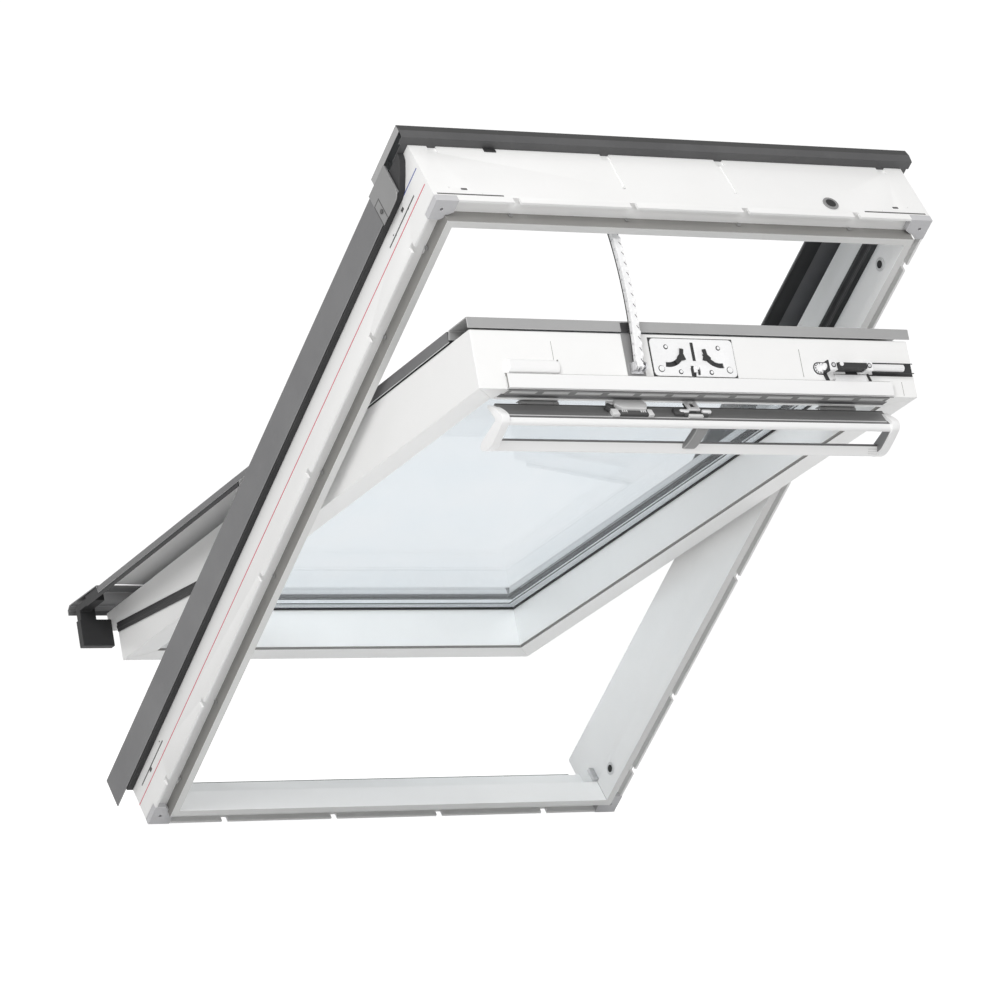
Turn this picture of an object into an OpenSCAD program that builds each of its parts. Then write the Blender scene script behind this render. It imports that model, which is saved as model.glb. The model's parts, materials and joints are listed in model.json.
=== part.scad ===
// Centre-pivot roof skylight: white frame and sash, grey cladding, chain operator.
//
// Everything is drawn in the plane of the roof and then tilted by roof_pitch:
//   x  across the window, to the right as seen from the room
//   y  down the slope
//   z  outward, away from the room; z = 0 is the frame's room-side lip
// The sash is drawn closed and then turned open about its pivot line, which
// lies on y = 0 at z = pivot_z. Lengths are millimetres, angles are degrees.

/* [Window] */
// outer width of the frame
frame_w = 780; // [600:1:1200]
// outer height of the frame, along the slope
frame_h = 1178; // [900:1:1600]
// depth of the frame, from its lip to its exterior face
frame_d = 118; // [105:1:140]
// pitch of the roof
roof_pitch = 45; // [15:1:80]
// how far the sash stands open
sash_open = 25.93; // [1:0.01:40]
// height of the pivot line above the lip
pivot_z = 108; // [95:1:115]

/* [Frame] */
// thickness of the side rails
side_rail_t = 33.6; // [28:0.1:45]
// thickness of the top and bottom rails
end_rail_t = 37.6; // [32:0.1:50]
// depth of the bottom rail
bottom_rail_d = 80; // [70:1:90]
// height of the ledge that the closed sash lies over
rebate_z = 37.2; // [30:0.1:40]
// thickness of the bottom rail beyond that ledge
rebate_wall = 8.5; // [6:0.1:10]
// width of the lip's face
lip_w = 11; // [8:0.5:14]
// how far the flange lies behind the lip
flange_z = 11; // [8:0.5:14]
// thickness of the flange
flange_t = 3.5; // [2.5:0.1:5]
// level of the lining groove's floor
groove_z = 20; // [16:0.5:26]
// width of a notch in the flange
notch_w = 10; // [6:0.5:14]
// places of the inner notches up and down from the middle of a side rail
side_notches = [98, 345];
// distance of a side rail's last notch from its end
side_notch_end = 87; // [70:1:110]
// place of the inner notch left and right from the middle of an end rail
end_notch = 88; // [40:1:120]
// distance of an end rail's last notch from its end
end_notch_end = 123; // [90:1:160]
// distance of the bolt bushes from the upper and lower end of the side rail
bush_ends = [94.6, 79.6];
// leg of the corner block in the lining groove
corner_leg = 34; // [24:1:40]
// radius of the screw hole in a corner block
corner_hole_r = 2.5; // [1.5:0.1:3.5]
// head radius of a lining screw
lining_screw_r = 3.2; // [2.5:0.1:4]
// radius of a bracket pilot hole
pilot_r = 1.5; // [1:0.1:2.5]
// depth of a bracket pilot hole
pilot_depth = 14; // [8:1:24]
// spacing of a bracket's two pilot holes
pilot_pitch = 46; // [30:1:80]
// level of the pilot holes
pilot_z = 58; // [40:1:70]
// distance of a bracket's middle from the end of the side rail
bracket_inset = 80; // [60:1:140]
// distance of the top rail's drainage channels from the middle
channel_x = 88; // [60:1:120]
// level of the drainage channels' end holes
channel_z = 50; // [40:1:70]
// depth of the drainage channels
channel_depth = 1.2; // [0.6:0.1:2]
// level of the bracket marks on the top rail
mark_z = 23; // [21:0.5:30]

/* [Frame cladding] */
// thickness of the cladding sheet
sheet = 1.5; // [1:0.1:2.5]
// distance of the side flange from the rail
flange_gap = 10; // [8:0.5:14]
// level of the side flange's room edge
side_flange_z = 79; // [70:1:90]
// level of the side flange's outer edge
side_flange_top = 130; // [126:1:134]
// how far the side flange runs past the bottom of the frame
flange_tail = 36; // [20:1:60]
// level of the covers' outer face
cover_z = 142; // [141.5:0.5:146]
// how far the covers lap over the sash
cover_lap = 27.5; // [25:0.5:38]
// how far the top cladding stands out from the top rail
top_stand = 13; // [8:1:20]
// how far the top cladding reaches in over the sash
top_reach = 81; // [70:1:90]

/* [Sash] */
// gap between sash and frame at each side
side_gap = 12.9; // [11:0.1:14]
// gap between sash and frame at the top
top_gap = 31.4; // [28:0.1:40]
// how far the sash laps over the bottom rail's ledge
bottom_lap = 23.6; // [18:0.1:26]
// level of the sash's room face
sash_z = 38; // [37.8:0.1:42]
// depth of the sash rails
sash_d = 82; // [76:1:84]
// width of the top and side rails of the sash
sash_rail = 39; // [34:1:46]
// width of the bottom rail of the sash
sash_bottom_rail_w = 46; // [40:1:56]
// how far the sash's bottom lip stands past its room face
bottom_lip = 28; // [20:1:34]
// level of the bottom lip's underside
bottom_lip_z = 93; // [90:1:100]
// step at the rim's inner edge
rim_step = 3; // [2:0.5:4]

/* [Glazing] */
// level of the glass unit's room face
glass_z = 101; // [96:0.5:103]
// thickness of each pane
pane_t = 4; // [3:0.5:6]
// gap between the panes
pane_gap = 12; // [10:1:13]
// how far the glass unit reaches into the rails
glass_edge = 12; // [9:0.5:16]
// thickness of the glazing seals
seal_t = 2.2; // [1.5:0.1:3]
// width of the glazing seals and of the spacer bar
spacer_w = 9; // [6:0.5:11]

/* [Sash cladding] */
// level of the sash cladding's outer face
clad_z = 136; // [134:0.5:137]
// distance of the upper cladding's edge outside the sash
clad_out = 3.5; // [2:0.5:6]
// how far the lower cladding stands out past the frame
lower_clad_out = 5; // [0:0.5:7]
// level of the lower cladding's drip edge
lower_clad_z = 124; // [121:1:128]
// how far the lower cladding runs past the bottom of the frame
clad_tail = 36; // [24:1:50]
// where the lower cladding starts below the pivot
lower_clad_y = 20; // [16:1:40]

/* [Pivot] */
// radius of the pivot pin
pivot_pin_r = 5; // [4:0.1:7]
// half the length of a pivot plate
pivot_plate_l = 42; // [30:1:60]
// depth of a pivot plate
pivot_plate_w = 30; // [24:1:34]

/* [Control bar] */
// distance of the control bar's end from the sash's edge
bar_inset = 31.5; // [18:0.5:100]
// hinge line of the control bar, down from the sash's top
bar_hinge_y = 38; // [34:1:46]
// hinge line of the control bar, out from the sash's face into the room
bar_hinge_z = 5; // [4.5:0.1:8]
// how far the bar's edge stands out from the hinge line
bar_reach = 33; // [26:1:40]
// thickness of the channel
bar_t = 3; // [2:0.5:5]
// radius of the rounded edge
bar_edge_r = 5; // [4:0.5:7]
// thickness of an end cap
bar_cap_t = 7; // [5:0.5:10]
// width of the middle arm
bar_arm_w = 18; // [12:1:30]
// radius of the bar's hinge pins
bar_pin_r = 1.6; // [1.2:0.1:2.2]

/* [Ventilation] */
// distance of the ventilation flap's end from the sash's edge
flap_inset = 41.5; // [28:0.5:110]
// height of the flap
flap_h = 20.5; // [16:0.5:26]
// thickness of the flap
flap_t = 5.5; // [3:0.5:7]
// length of a slot in the vent grille
grille_slot = 40; // [25:1:60]

/* [Lock] */
// middle of the lock plate
lock_x = -7.5; // [-60:0.5:60]
// width of the lock plate
lock_w = 129; // [110:1:150]
// height of the lock plate
lock_h = 53; // [46:1:60]
// level of the lock plate's lower edge
lock_z = 60.5; // [59:0.5:64]
// thickness of the lock plate
lock_t = 2; // [1.5:0.1:3]
// distance of the cam pivots from the plate's middle
cam_x = 41; // [34:1:46]
// radius of the cam slots' middle line
cam_r = 25; // [20:1:30]

/* [Chain] */
// middle of the chain
chain_x = -100; // [-160:1:160]
// distance between two chain pins
chain_pitch = 15; // [10:1:24]
// width of a chain link
chain_w = 15; // [12:1:18]
// how far the chain's direction turns between the sash and the frame
chain_turn = 23; // [0:1:40]

/* [Bolt] */
// distance of the barrel bolt's inner end from the sash's edge
bolt_inset = 152.5; // [110:0.5:220]
// level of the barrel bolt
bolt_z = 77; // [70:1:90]
// radius of the bolt's rod
bolt_r = 5; // [4:0.1:7]
// distance of the bolt's tip inside the sash's edge
bolt_tip = 21; // [12:1:30]

/* [Clearances] */
// gap between pieces that only touch
seat = 0.2; // [0.1:0.05:0.5]
// running clearance round pins
run = 0.3; // [0.2:0.05:0.6]

/* [Which node] */
// node to build

/* [Hidden] */
$fn = 32;
eps = 0.01;
white = "#f4f4f2";
white_grey = "#dcdcda";
clad_dark = "#4f4f51";
clad_mid = "#6f6f71";
clad_light = "#a9a9a9";
black = "#1b1b1d";
steel = "#c3c5c7";
grey = "#858585";

fx = frame_w / 2;                       // frame's side face
fy = frame_h / 2;                       // frame's end face
ix = fx - side_rail_t;                  // frame's side reveal
iy = fy - end_rail_t;                   // frame's end reveal
sx = ix - side_gap;                     // sash's side face
st = -(iy - top_gap);                   // sash's top face
sb = iy + bottom_lap;                   // sash's bottom face
sz1 = sash_z + sash_d;                  // sash's exterior face
gx = sx - sash_rail;                    // sash's side reveal
gt = st + sash_rail;                    // sash's top reveal
gb = sb - sash_bottom_rail_w;           // sash's bottom reveal
lip_y = sb + bottom_lip;                // edge of the sash's bottom lip
cover_in = sx - cover_lap;              // inner edge of the covers
lower_clad_x = fx + lower_clad_out;     // edge of the lower cladding
bar_half = sx - bar_inset;              // half the length of the control bar
flap_half = sx - flap_inset;            // half the length of the flap
bolt_x = sx - bolt_inset;               // inner end of the barrel bolt
glass_top = glass_z + 2 * pane_t + pane_gap;
hinge_y = st + bar_hinge_y;             // control bar's hinge line
hinge_z = sash_z - bar_hinge_z;
edge_y = hinge_y - 20;                  // middle of the bar's rounded edge
edge_z = hinge_z - bar_reach;
grip_y = edge_y + 42;                   // middle of the bar's grip
grip_z = edge_z - 16.5;
flap_z = sash_z + flap_h;               // flap's hinge line

// A sheet of thickness t along a path of 2-D points.
function unit(v) = v / norm(v);
function normal(a, b) = let (d = unit(b - a)) [-d[1], d[0]];
function miter(m, n, t) = (m + n) * t / (1 + m * n);
function shifted(p, i, t) =
  i == 0 ? p[0] + t * normal(p[0], p[1]) :
  i == len(p) - 1 ? p[i] + t * normal(p[i - 1], p[i]) :
  p[i] + miter(normal(p[i - 1], p[i]), normal(p[i], p[i + 1]), t);
function sheet_path(p, t) =
  concat(p, [for (i = [len(p) - 1 : -1 : 0]) shifted(p, i, t)]);

// The window plane, and the sash turned open in it.
module tilted() {
  rotate([-roof_pitch, 0, 0]) children();
}

module on_sash() {
  tilted() translate([0, 0, pivot_z]) rotate([sash_open, 0, 0])
    translate([0, 0, -pivot_z]) children();
}

// A (y, z) profile run along x, and an (x, z) profile run along y.
module along_x(x0, x1) {
  translate([x0, 0, 0]) rotate([90, 0, 90]) linear_extrude(x1 - x0) children();
}

module along_y(y0, y1) {
  translate([0, y1, 0]) rotate([90, 0, 0]) linear_extrude(y1 - y0) children();
}

module block(x0, x1, y0, y1, z0, z1) {
  translate([x0, y0, z0]) cube([x1 - x0, y1 - y0, z1 - z0]);
}

module rod_x(x0, x1, y, z, r) {
  translate([x0, y, z]) rotate([0, 90, 0]) cylinder(h = x1 - x0, r = r);
}

module rod_y(x, y0, y1, z, r) {
  translate([x, y1, z]) rotate([90, 0, 0]) cylinder(h = y1 - y0, r = r);
}

module both_sides() {
  children();
  mirror([1, 0, 0]) children();
}

module prism(points, z0, z1) {
  translate([0, 0, z0]) linear_extrude(z1 - z0) polygon(points);
}

// ---- frame ----

// Rail section: u from the outer face inward, z from the room outward.
function rail_section(t, d) = [
  [0, flange_z], [flange_t, flange_z], [flange_t, groove_z],
  [t - lip_w, groove_z], [t - lip_w, 0], [t, 0], [t, d], [0, d]
];

// Cuts in an end rail's flange: room for the corner blocks, and the notches.
module end_flange_cuts() {
  for (s = [-1, 1]) {
    translate([s * (fx - corner_leg / 2), 0, (flange_z + groove_z) / 2])
      cube([corner_leg + eps, 4 * flange_t, groove_z - flange_z + 2 * seat], center = true);
    for (p = [end_notch, fx - end_notch_end]) {
      translate([s * p - notch_w / 2, -flange_t, flange_z - 1])
        cube([notch_w, 2 * flange_t + eps, groove_z - flange_z + 1]);
    }
  }
}

module side_flange_cuts() {
  for (s = [-1, 1]) {
    translate([0, s * (fy - corner_leg / 2), (flange_z + groove_z) / 2])
      cube([4 * flange_t, corner_leg + eps, groove_z - flange_z + 2 * seat], center = true);
    for (p = concat(side_notches, fy - side_notch_end)) {
      translate([-flange_t, s * p - notch_w / 2, flange_z - 1])
        cube([2 * flange_t + eps, notch_w, groove_z - flange_z + 1]);
    }
  }
}

// Pocket for the chain operator in the top rail.
op_x0 = chain_x - 235;
op_x1 = chain_x + 45;
op_y0 = -fy + 6;
op_z0 = 22;
op_z1 = 96;

// Moulded details of the top rail's outer face, mirrored left and right.
module top_face_cuts() {
  y0 = -fy - 1;
  both_sides() {
    // drainage channel with a hole at its end
    translate([-channel_x, y0, channel_z]) rotate([0, 1, 0])
      translate([-1.8, 0, 0]) cube([3.6, 1 + channel_depth, frame_d]);
    rod_y(-channel_x, y0, -fy + 6, channel_z, 2.4);
    // wider mouth of the channel, and the corner's recess, under the cladding
    block(-channel_x - 9, -channel_x + 5, y0, -fy + 2.5, frame_d - 12, frame_d + 1);
    block(-fx + 28, -fx + 42, y0, -fy + 3, frame_d - 12, frame_d + 1);
    // slot and two pips that place a bracket
    block(-fx + 47, -fx + 54, y0, -fy + 5, mark_z + 9, mark_z + 12);
    rod_y(-fx + 29, y0, -fy + 3, mark_z + 13, 1.1);
    rod_y(-fx + 75, y0, -fy + 3, mark_z + 3, 1.1);
  }
}

module frame_top_rail() {
  color(white) tilted() difference() {
    intersection() {
      along_x(-fx, fx) mirror([1, 0]) translate([fy, 0, 0]) mirror([1, 0])
        polygon(rail_section(end_rail_t, frame_d));
      prism([[-fx, -fy], [fx, -fy], [ix, -iy], [-ix, -iy]], -1, frame_d + 1);
    }
    translate([0, -fy, 0]) end_flange_cuts();
    top_face_cuts();
    block(op_x0, op_x1, op_y0, -iy + 1, op_z0, op_z1);
    rod_y(gland_x, -fy - 1, op_y0 - 1, gland_z, gland_r);
  }
}

module frame_bottom_rail() {
  color(white) tilted() difference() {
    union() {
      intersection() {
        along_x(-fx, fx) translate([fy, 0, 0]) mirror([1, 0])
          polygon(rail_section(end_rail_t, rebate_z));
        prism([[-fx, fy], [-ix, iy], [ix, iy], [fx, fy]], -1, rebate_z + 1);
      }
      block(-ix, ix, fy - rebate_wall, fy, rebate_z, bottom_rail_d);
    }
    translate([0, fy, 0]) end_flange_cuts();
  }
}

module side_rail() {
  difference() {
    intersection() {
      along_y(-fy, fy) translate([-fx, 0, 0]) polygon(rail_section(side_rail_t, frame_d));
      union() {
        prism([[-fx, -fy], [-ix, -iy], [-ix, iy], [-fx, fy]], -1, rebate_z);
        prism([[-fx, -fy], [-ix, -iy], [-ix, fy], [-fx, fy]], rebate_z, frame_d + 1);
      }
    }
    translate([-fx, 0, 0]) side_flange_cuts();
    for (s = [-1, 1]) {
      for (h = [-1, 1]) {
        rod_x(-fx - 1, -fx + pilot_depth,
          s * (fy - bracket_inset) + h * pilot_pitch / 2, pilot_z, pilot_r);
      }
      rod_x(-ix - bush_l - seat, -ix + 1, bush_y(s), bush_z, bush_r + seat);
    }
  }
}

module frame_left_rail() {
  color(white) tilted() side_rail();
}

module frame_right_rail() {
  color(white) tilted() mirror([1, 0, 0]) side_rail();
}

// One block in each corner of the lining groove.
module corner_block() {
  w = side_rail_t - lip_w - seat;
  v = end_rail_t - lip_w - seat;
  // where the two lips meet on the mitre
  mw = min(w, v * side_rail_t / end_rail_t - seat);
  mv = min(v, w * end_rail_t / side_rail_t - seat);
  z0 = flange_z - 1;
  difference() {
    translate([0, 0, z0]) linear_extrude(groove_z - seat - z0)
      polygon([[0, 0], [corner_leg, 0], [corner_leg, v - 6], [w + 4, mv],
        [mw, mv], [mw, v + 4], [w - 6, corner_leg], [0, corner_leg]]);
    translate([w * 0.62, v * 0.62, z0 - 1])
      cylinder(h = groove_z - z0 + 2, r = corner_hole_r);
  }
}

module lining_corners() {
  color(white_grey) tilted() both_sides() {
    translate([-fx, -fy, 0]) corner_block();
    translate([-fx, fy, 0]) mirror([0, 1, 0]) corner_block();
  }
}

// Screws in the outer wall of the lip, one behind each notch.
module lining_screws() {
  z = (flange_z + groove_z) / 2;
  h = 1.6;
  color(steel) tilted() {
    both_sides() {
      for (s = [-1, 1]) {
        for (p = concat(side_notches, fy - side_notch_end)) {
          rod_x(-ix - lip_w - seat - h, -ix - lip_w - seat, s * p, z, lining_screw_r);
        }
      }
    }
    for (s = [-1, 1]) {
      for (p = [end_notch, fx - end_notch_end]) {
        rod_y(s * p, -iy - lip_w - seat - h, -iy - lip_w - seat, z, lining_screw_r);
        rod_y(s * p, iy + lip_w + seat, iy + lip_w + seat + h, z, lining_screw_r);
      }
    }
  }
}

module frame_top_cladding() {
  y0 = -fy - top_stand;
  x1 = fx + flange_gap + 2 * sheet;
  z0 = frame_d + seat;
  color(clad_dark) tilted() difference() {
    along_x(-x1, x1) polygon(sheet_path([
      [-fy + 30, z0], [y0, z0], [y0 - 2, (z0 + cover_z) / 2],
      [y0, cover_z], [y0 + top_stand + top_reach, cover_z]
    ], -sheet));
    // notch at each end for the side flange's corner
    both_sides()
      block(-x1 - 1, -fx - flange_gap + seat, -fy, -fy + 31, z0 - 1, side_flange_top + seat);
  }
  // folded end
  color(clad_dark) tilted() both_sides()
    block(-x1, -x1 + sheet, y0 + 1, -fy + top_reach - 1, cover_z - 9, cover_z - sheet / 2);
}

module frame_bottom_cladding() {
  y0 = fy - rebate_wall;
  z0 = bottom_rail_d + seat;
  color(clad_dark) tilted() along_x(-sx + 6, sx - 6) polygon(sheet_path([
    [y0, z0], [fy + seat, z0], [fy + seat, z0 - 24]
  ], sheet));
}

// Flange beside each side rail, held by a web on the rail's side face.
flange_y0 = -fy + 46;

module side_flange() {
  x0 = -fx - flange_gap;
  web_z = side_flange_z + 16;
  color(clad_mid) tilted() union() {
    block(x0 - sheet, x0, flange_y0, fy + flange_tail, side_flange_z, side_flange_top);
    block(x0 - eps, -fx - seat, flange_y0 + 20, fy, web_z, web_z + sheet);
  }
}

module side_flange_left() {
  side_flange();
}

module side_flange_right() {
  mirror([1, 0, 0]) side_flange();
}

// Cover over the upper half of each side: the closed sash lies under it.
cover_y0 = -fy + top_reach + seat;

module side_cover() {
  x0 = -fx - flange_gap + seat;
  color(clad_mid) tilted() along_y(cover_y0, 0) polygon(sheet_path([
    [-fx + 12, frame_d + seat], [x0, frame_d + seat], [x0, side_flange_top],
    [x0 + 11, cover_z], [-cover_in, cover_z]
  ], -sheet));
}

module side_cover_left() {
  side_cover();
}

module side_cover_right() {
  mirror([1, 0, 0]) side_cover();
}

// Cover on the outside of each upper corner, with a rounded corner and a screwed lug.
corner_cover_l = 55;
corner_cover_z0 = 73;
corner_cover_z1 = side_flange_top + 1;
lug_y = -fy + 91;
lug_z = side_flange_z + 11;
lug_w = 16;

module corner_cover_outline() {
  r = 13;
  y1 = flange_y0 + corner_cover_l;
  difference() {
    union() {
      translate([flange_y0 + r, corner_cover_z0]) square([corner_cover_l - r - lug_w, r]);
      translate([flange_y0 + r, corner_cover_z0 + r]) circle(r = r);
      translate([flange_y0, corner_cover_z0 + r])
        square([corner_cover_l, corner_cover_z1 - corner_cover_z0 - r]);
      translate([y1 - lug_w, corner_cover_z0 + 1]) square([lug_w, r + 2]);
    }
    translate([lug_y, lug_z]) circle(r = 2.2);
  }
}

module corner_cover() {
  x0 = -fx - flange_gap - sheet - seat;
  color(clad_light) tilted() along_x(x0 - sheet, x0) corner_cover_outline();
}

module corner_cover_left() {
  corner_cover();
}

module corner_cover_right() {
  mirror([1, 0, 0]) corner_cover();
}

module corner_cover_screws() {
  x0 = -fx - flange_gap - 2 * sheet - 2 * seat;
  color(steel) tilted() both_sides() {
    rod_x(x0 - 1.4, x0, lug_y, lug_z, 3.4);
    rod_x(x0 - eps, x0 + sheet + seat, lug_y, lug_z, 2);
  }
}

// Black strip between each side flange and its rail; it bends outward at the top.
module flange_gaskets() {
  z0 = side_flange_z - 2;
  z1 = side_flange_z + 9;
  zt = frame_d - 0.5;
  color(black) tilted() both_sides() along_x(-fx - flange_gap + seat, -fx - seat) polygon([
    [-fy + 14, zt], [-fy + 17, zt - 10], [-fy + 30, z1 + 6], [-fy + 46, z0 + 3], [-fy + 58, z0],
    [fy, z0], [fy, z1], [-fy + 64, z1], [-fy + 54, z1 + 5], [-fy + 48, zt - 12], [-fy + 46, zt]
  ]);
}

// Black double-ribbed strip on each side reveal above the pivot; the sash seals on it.
reveal_gasket_t = 7;
reveal_z0 = 48;
reveal_z1 = 73;

module reveal_gaskets() {
  color(black) tilted() both_sides() along_y(-iy + seat, -pivot_plate_l)
    translate([-ix + seat, 0]) polygon([
      [0, reveal_z0], [reveal_gasket_t, reveal_z0 + 3], [reveal_gasket_t, reveal_z0 + 7],
      [3, reveal_z0 + 11], [3, reveal_z1 - 11], [reveal_gasket_t, reveal_z1 - 7],
      [reveal_gasket_t, reveal_z1 - 3], [0, reveal_z1]
    ]);
}

// Black strip under the inner edge of each side cover and of the top cladding.
module cover_gaskets() {
  z1 = cover_z - sheet - seat;
  z0 = clad_z + 1.2;
  y0 = -fy + top_reach - 24;
  color(black) tilted() {
    both_sides() block(-cover_in - 26, -cover_in, y0 + 24 + seat, 0, z0, z1);
    block(-cover_in, cover_in, y0, y0 + 24, z0, z1);
  }
}

gland_x = fx - 156;
gland_z = groove_z + 16;
gland_r = 9;

module cable_gland() {
  r = gland_r - seat;
  color(grey) tilted() difference() {
    union() {
      rod_y(gland_x, -fy - seat - 1.6, -fy - seat, gland_z, gland_r + 2.5);
      rod_y(gland_x, -fy - seat - eps, -fy + 5, gland_z, r);
    }
    rod_y(gland_x, -fy - 4, -fy + 6, gland_z, r - 2.6);
  }
}

// Bushes that the barrel bolt runs into, two in each side reveal.
bush_r = 8;
bush_l = 12;
bush_z = 25;
function bush_y(s) = s < 0 ? -fy + bush_ends[0] : fy - bush_ends[1];

module bolt_bushes() {
  color(white_grey) tilted() both_sides() {
    for (s = [-1, 1]) {
      difference() {
        union() {
          rod_x(-ix - bush_l, -ix + 1.4, bush_y(s), bush_z, bush_r);
          rod_x(-ix + seat, -ix + 1.4, bush_y(s), bush_z, bush_r + 2);
        }
        rod_x(-ix - bush_l + 2, -ix + 3, bush_y(s), bush_z, bolt_r + 2 * run);
      }
    }
  }
}

// Pivot: a housing with its pin on each side rail, a plate on the sash.
plate_t = (side_gap - 4 * seat) / 2 - 0.4;
plate_z1 = frame_d;

module pivot_housings() {
  x0 = -ix + seat;
  color(steel) tilted() both_sides() {
    block(x0, x0 + plate_t, -pivot_plate_l, pivot_plate_l,
      plate_z1 - pivot_plate_w, plate_z1);
    rod_x(x0 + plate_t - eps, -sx - seat - run, 0, pivot_z, pivot_pin_r);
  }
}

module pivot_plates() {
  x1 = -sx - seat;
  color(steel) on_sash() both_sides() difference() {
    block(x1 - plate_t, x1, -pivot_plate_l * 0.7, pivot_plate_l * 0.7,
      plate_z1 - pivot_plate_w, plate_z1);
    rod_x(x1 - plate_t - 1, x1 + 1, 0, pivot_z, pivot_pin_r + run);
  }
}

// Operator in the top rail's pocket; the chain leaves through its slot.
module chain_operator() {
  c = 0.3;
  color(white_grey) tilted() difference() {
    block(op_x0 + c, op_x1 - c, op_y0 + c, -iy, op_z0 + c, op_z1 - c);
    block(chain_x - 6.4, chain_x + 6.4, -iy - 22, -iy + 1, op_z0 - 1, op_z1 - 8);
  }
}

// Chain: pins along x, plates in the (y, z) plane. It follows an arc from the
// pin in the sash's bracket into the operator's slot, one link after another.
chain_pin_r = 2;
bracket_t = 3;                          // plate and gasket under the chain's bracket
chain_lobe = 0.42 * chain_w;
pin_y = st - bracket_t - chain_lobe - run;
pin_z = 70;
chain_end = [
  pin_y * cos(sash_open) - (pin_z - pivot_z) * sin(sash_open),
  pin_y * sin(sash_open) + (pin_z - pivot_z) * cos(sash_open) + pivot_z
];
chain_mouth = [-iy - 6, op_z0 + 52];
chain_chord = chain_mouth - chain_end;
chain_lean = atan2(-chain_chord[0], chain_chord[1]);
chain_links = floor(norm(chain_chord) * (1 + pow(chain_turn / 180 * PI, 2) / 24) / chain_pitch);
function chain_dir(i) =
  let (a = chain_lean + chain_turn * (0.5 - i / (chain_links - 1))) [-sin(a), cos(a)];
function chain_pos(i) =
  i == 0 ? chain_end : chain_pos(i - 1) + chain_pitch * chain_dir(i - 1);

module chain_link(i) {
  a = atan2(chain_dir(i)[1], chain_dir(i)[0]);
  even = i % 2 == 0;
  half = even ? 4.2 : 6;
  lobe = even ? chain_lobe : chain_lobe - 0.5;
  translate([chain_x - half, 0, 0]) rotate([90, 0, 90]) linear_extrude(2 * half)
    translate(chain_pos(i)) rotate(a) {
      translate([-1, -chain_w * (even ? 0.36 : 0.34)])
        square([chain_pitch + 2, chain_w * 0.6]);
      circle(r = lobe, $fn = 20);
      translate([chain_pitch, 0]) circle(r = lobe + 0.3, $fn = 20);
    }
}

module chain() {
  color(steel) tilted() difference() {
    union() {
      for (i = [0 : chain_links - 1]) {
        chain_link(i);
      }
    }
    rod_x(chain_x - chain_w, chain_x + chain_w, chain_end[0], chain_end[1], chain_pin_r + run);
  }
}

module striker() {
  color(steel) tilted() {
    block(lock_x - 40, lock_x + 40, -iy + seat, -iy + 3, lock_z + 6, lock_z + lock_h - 8);
    for (s = [-1, 1]) {
      rod_y(lock_x + s * cam_x / 2, -iy + 3 - eps, -iy + 14, lock_z + lock_h / 2, 4);
    }
  }
}

// ---- sash ----

// Side and top rail section: u from the outer face inward.
function sash_section(w) = [
  [0, sash_z], [w - rim_step, sash_z], [w - rim_step, sash_z + rim_step],
  [w, sash_z + rim_step], [w, glass_z - seal_t], [w - glass_edge - 0.5, glass_z - seal_t],
  [w - glass_edge - 0.5, sz1], [0, sz1]
];

module sash_side_rail() {
  intersection() {
    along_y(st, sb) translate([-sx, 0, 0]) polygon(sash_section(sash_rail));
    prism([[-sx, st], [-gx, gt], [-gx, gb], [-sx, sb]], sash_z - 1, sz1 + 1);
  }
}

module sash_left_rail() {
  color(white) on_sash() sash_side_rail();
}

module sash_right_rail() {
  color(white) on_sash() mirror([1, 0, 0]) sash_side_rail();
}

module sash_top_rail() {
  color(white) on_sash() intersection() {
    along_x(-sx, sx) translate([st, 0, 0]) polygon(sash_section(sash_rail));
    prism([[-sx, st], [sx, st], [gx, gt], [-gx, gt]], sash_z - 1, sz1 + 1);
  }
}

module sash_bottom_rail() {
  w = sash_bottom_rail_w;
  color(white) on_sash() intersection() {
    along_x(-sx, sx) translate([sb, 0, 0]) mirror([1, 0]) polygon([
      [0, sash_z], [w - rim_step, sash_z], [w - rim_step, sash_z + rim_step],
      [w, sash_z + rim_step], [w, glass_z - seal_t], [w - glass_edge - 0.5, glass_z - seal_t],
      [w - glass_edge - 0.5, sz1], [-bottom_lip, sz1], [-bottom_lip, bottom_lip_z],
      [0, bottom_lip_z - 9]
    ]);
    prism([[-gx, gb], [gx, gb], [sx, sb], [sx, lip_y], [-sx, lip_y], [-sx, sb]],
      sash_z - 1, sz1 + 1);
  }
}

// Ring round the glass: inset from the glass unit's edge, width w.
module glass_ring(w, inset, z0, z1) {
  x = gx + glass_edge - inset;
  y0 = gt - glass_edge + inset;
  y1 = gb + glass_edge - inset;
  difference() {
    block(-x, x, y0, y1, z0, z1);
    block(-x + w, x - w, y0 + w, y1 - w, z0 - 1, z1 + 1);
  }
}

module pane(z0) {
  x = gx + glass_edge;
  block(-x, x, gt - glass_edge, gb + glass_edge, z0, z0 + pane_t);
}

module pane_inner() {
  color("#dfe6ea", 0.4) on_sash() pane(glass_z);
}

module pane_outer() {
  color("#dfe6ea", 0.4) on_sash() pane(glass_z + pane_t + pane_gap);
}

module glass_spacer() {
  z0 = glass_z + pane_t;
  c = seat / 4;
  color(steel) on_sash() glass_ring(spacer_w, 2, z0 + c, z0 + pane_gap - c);
}

module glazing_seals() {
  color(black) on_sash() {
    glass_ring(glass_edge, 0, glass_z - seal_t + seat / 4, glass_z - seat / 4);
    glass_ring(glass_edge + 1, 0, glass_top + seat / 4, glass_top + seal_t);
  }
}

// Sash cladding: a sheet from the outer glazing seal over the rail.
clad_in = glass_edge + 1 - 3;
clad_z0 = glass_top + seal_t + 0.6;
edge_x = sx + clad_out;

module sash_top_cladding() {
  y0 = st - clad_out;
  color(clad_light) on_sash() along_x(-edge_x, edge_x) polygon(sheet_path([
    [y0, sz1 + 1], [y0, clad_z], [gt + 6, clad_z], [gt + 10, clad_z0]
  ], -sheet));
}

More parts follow.
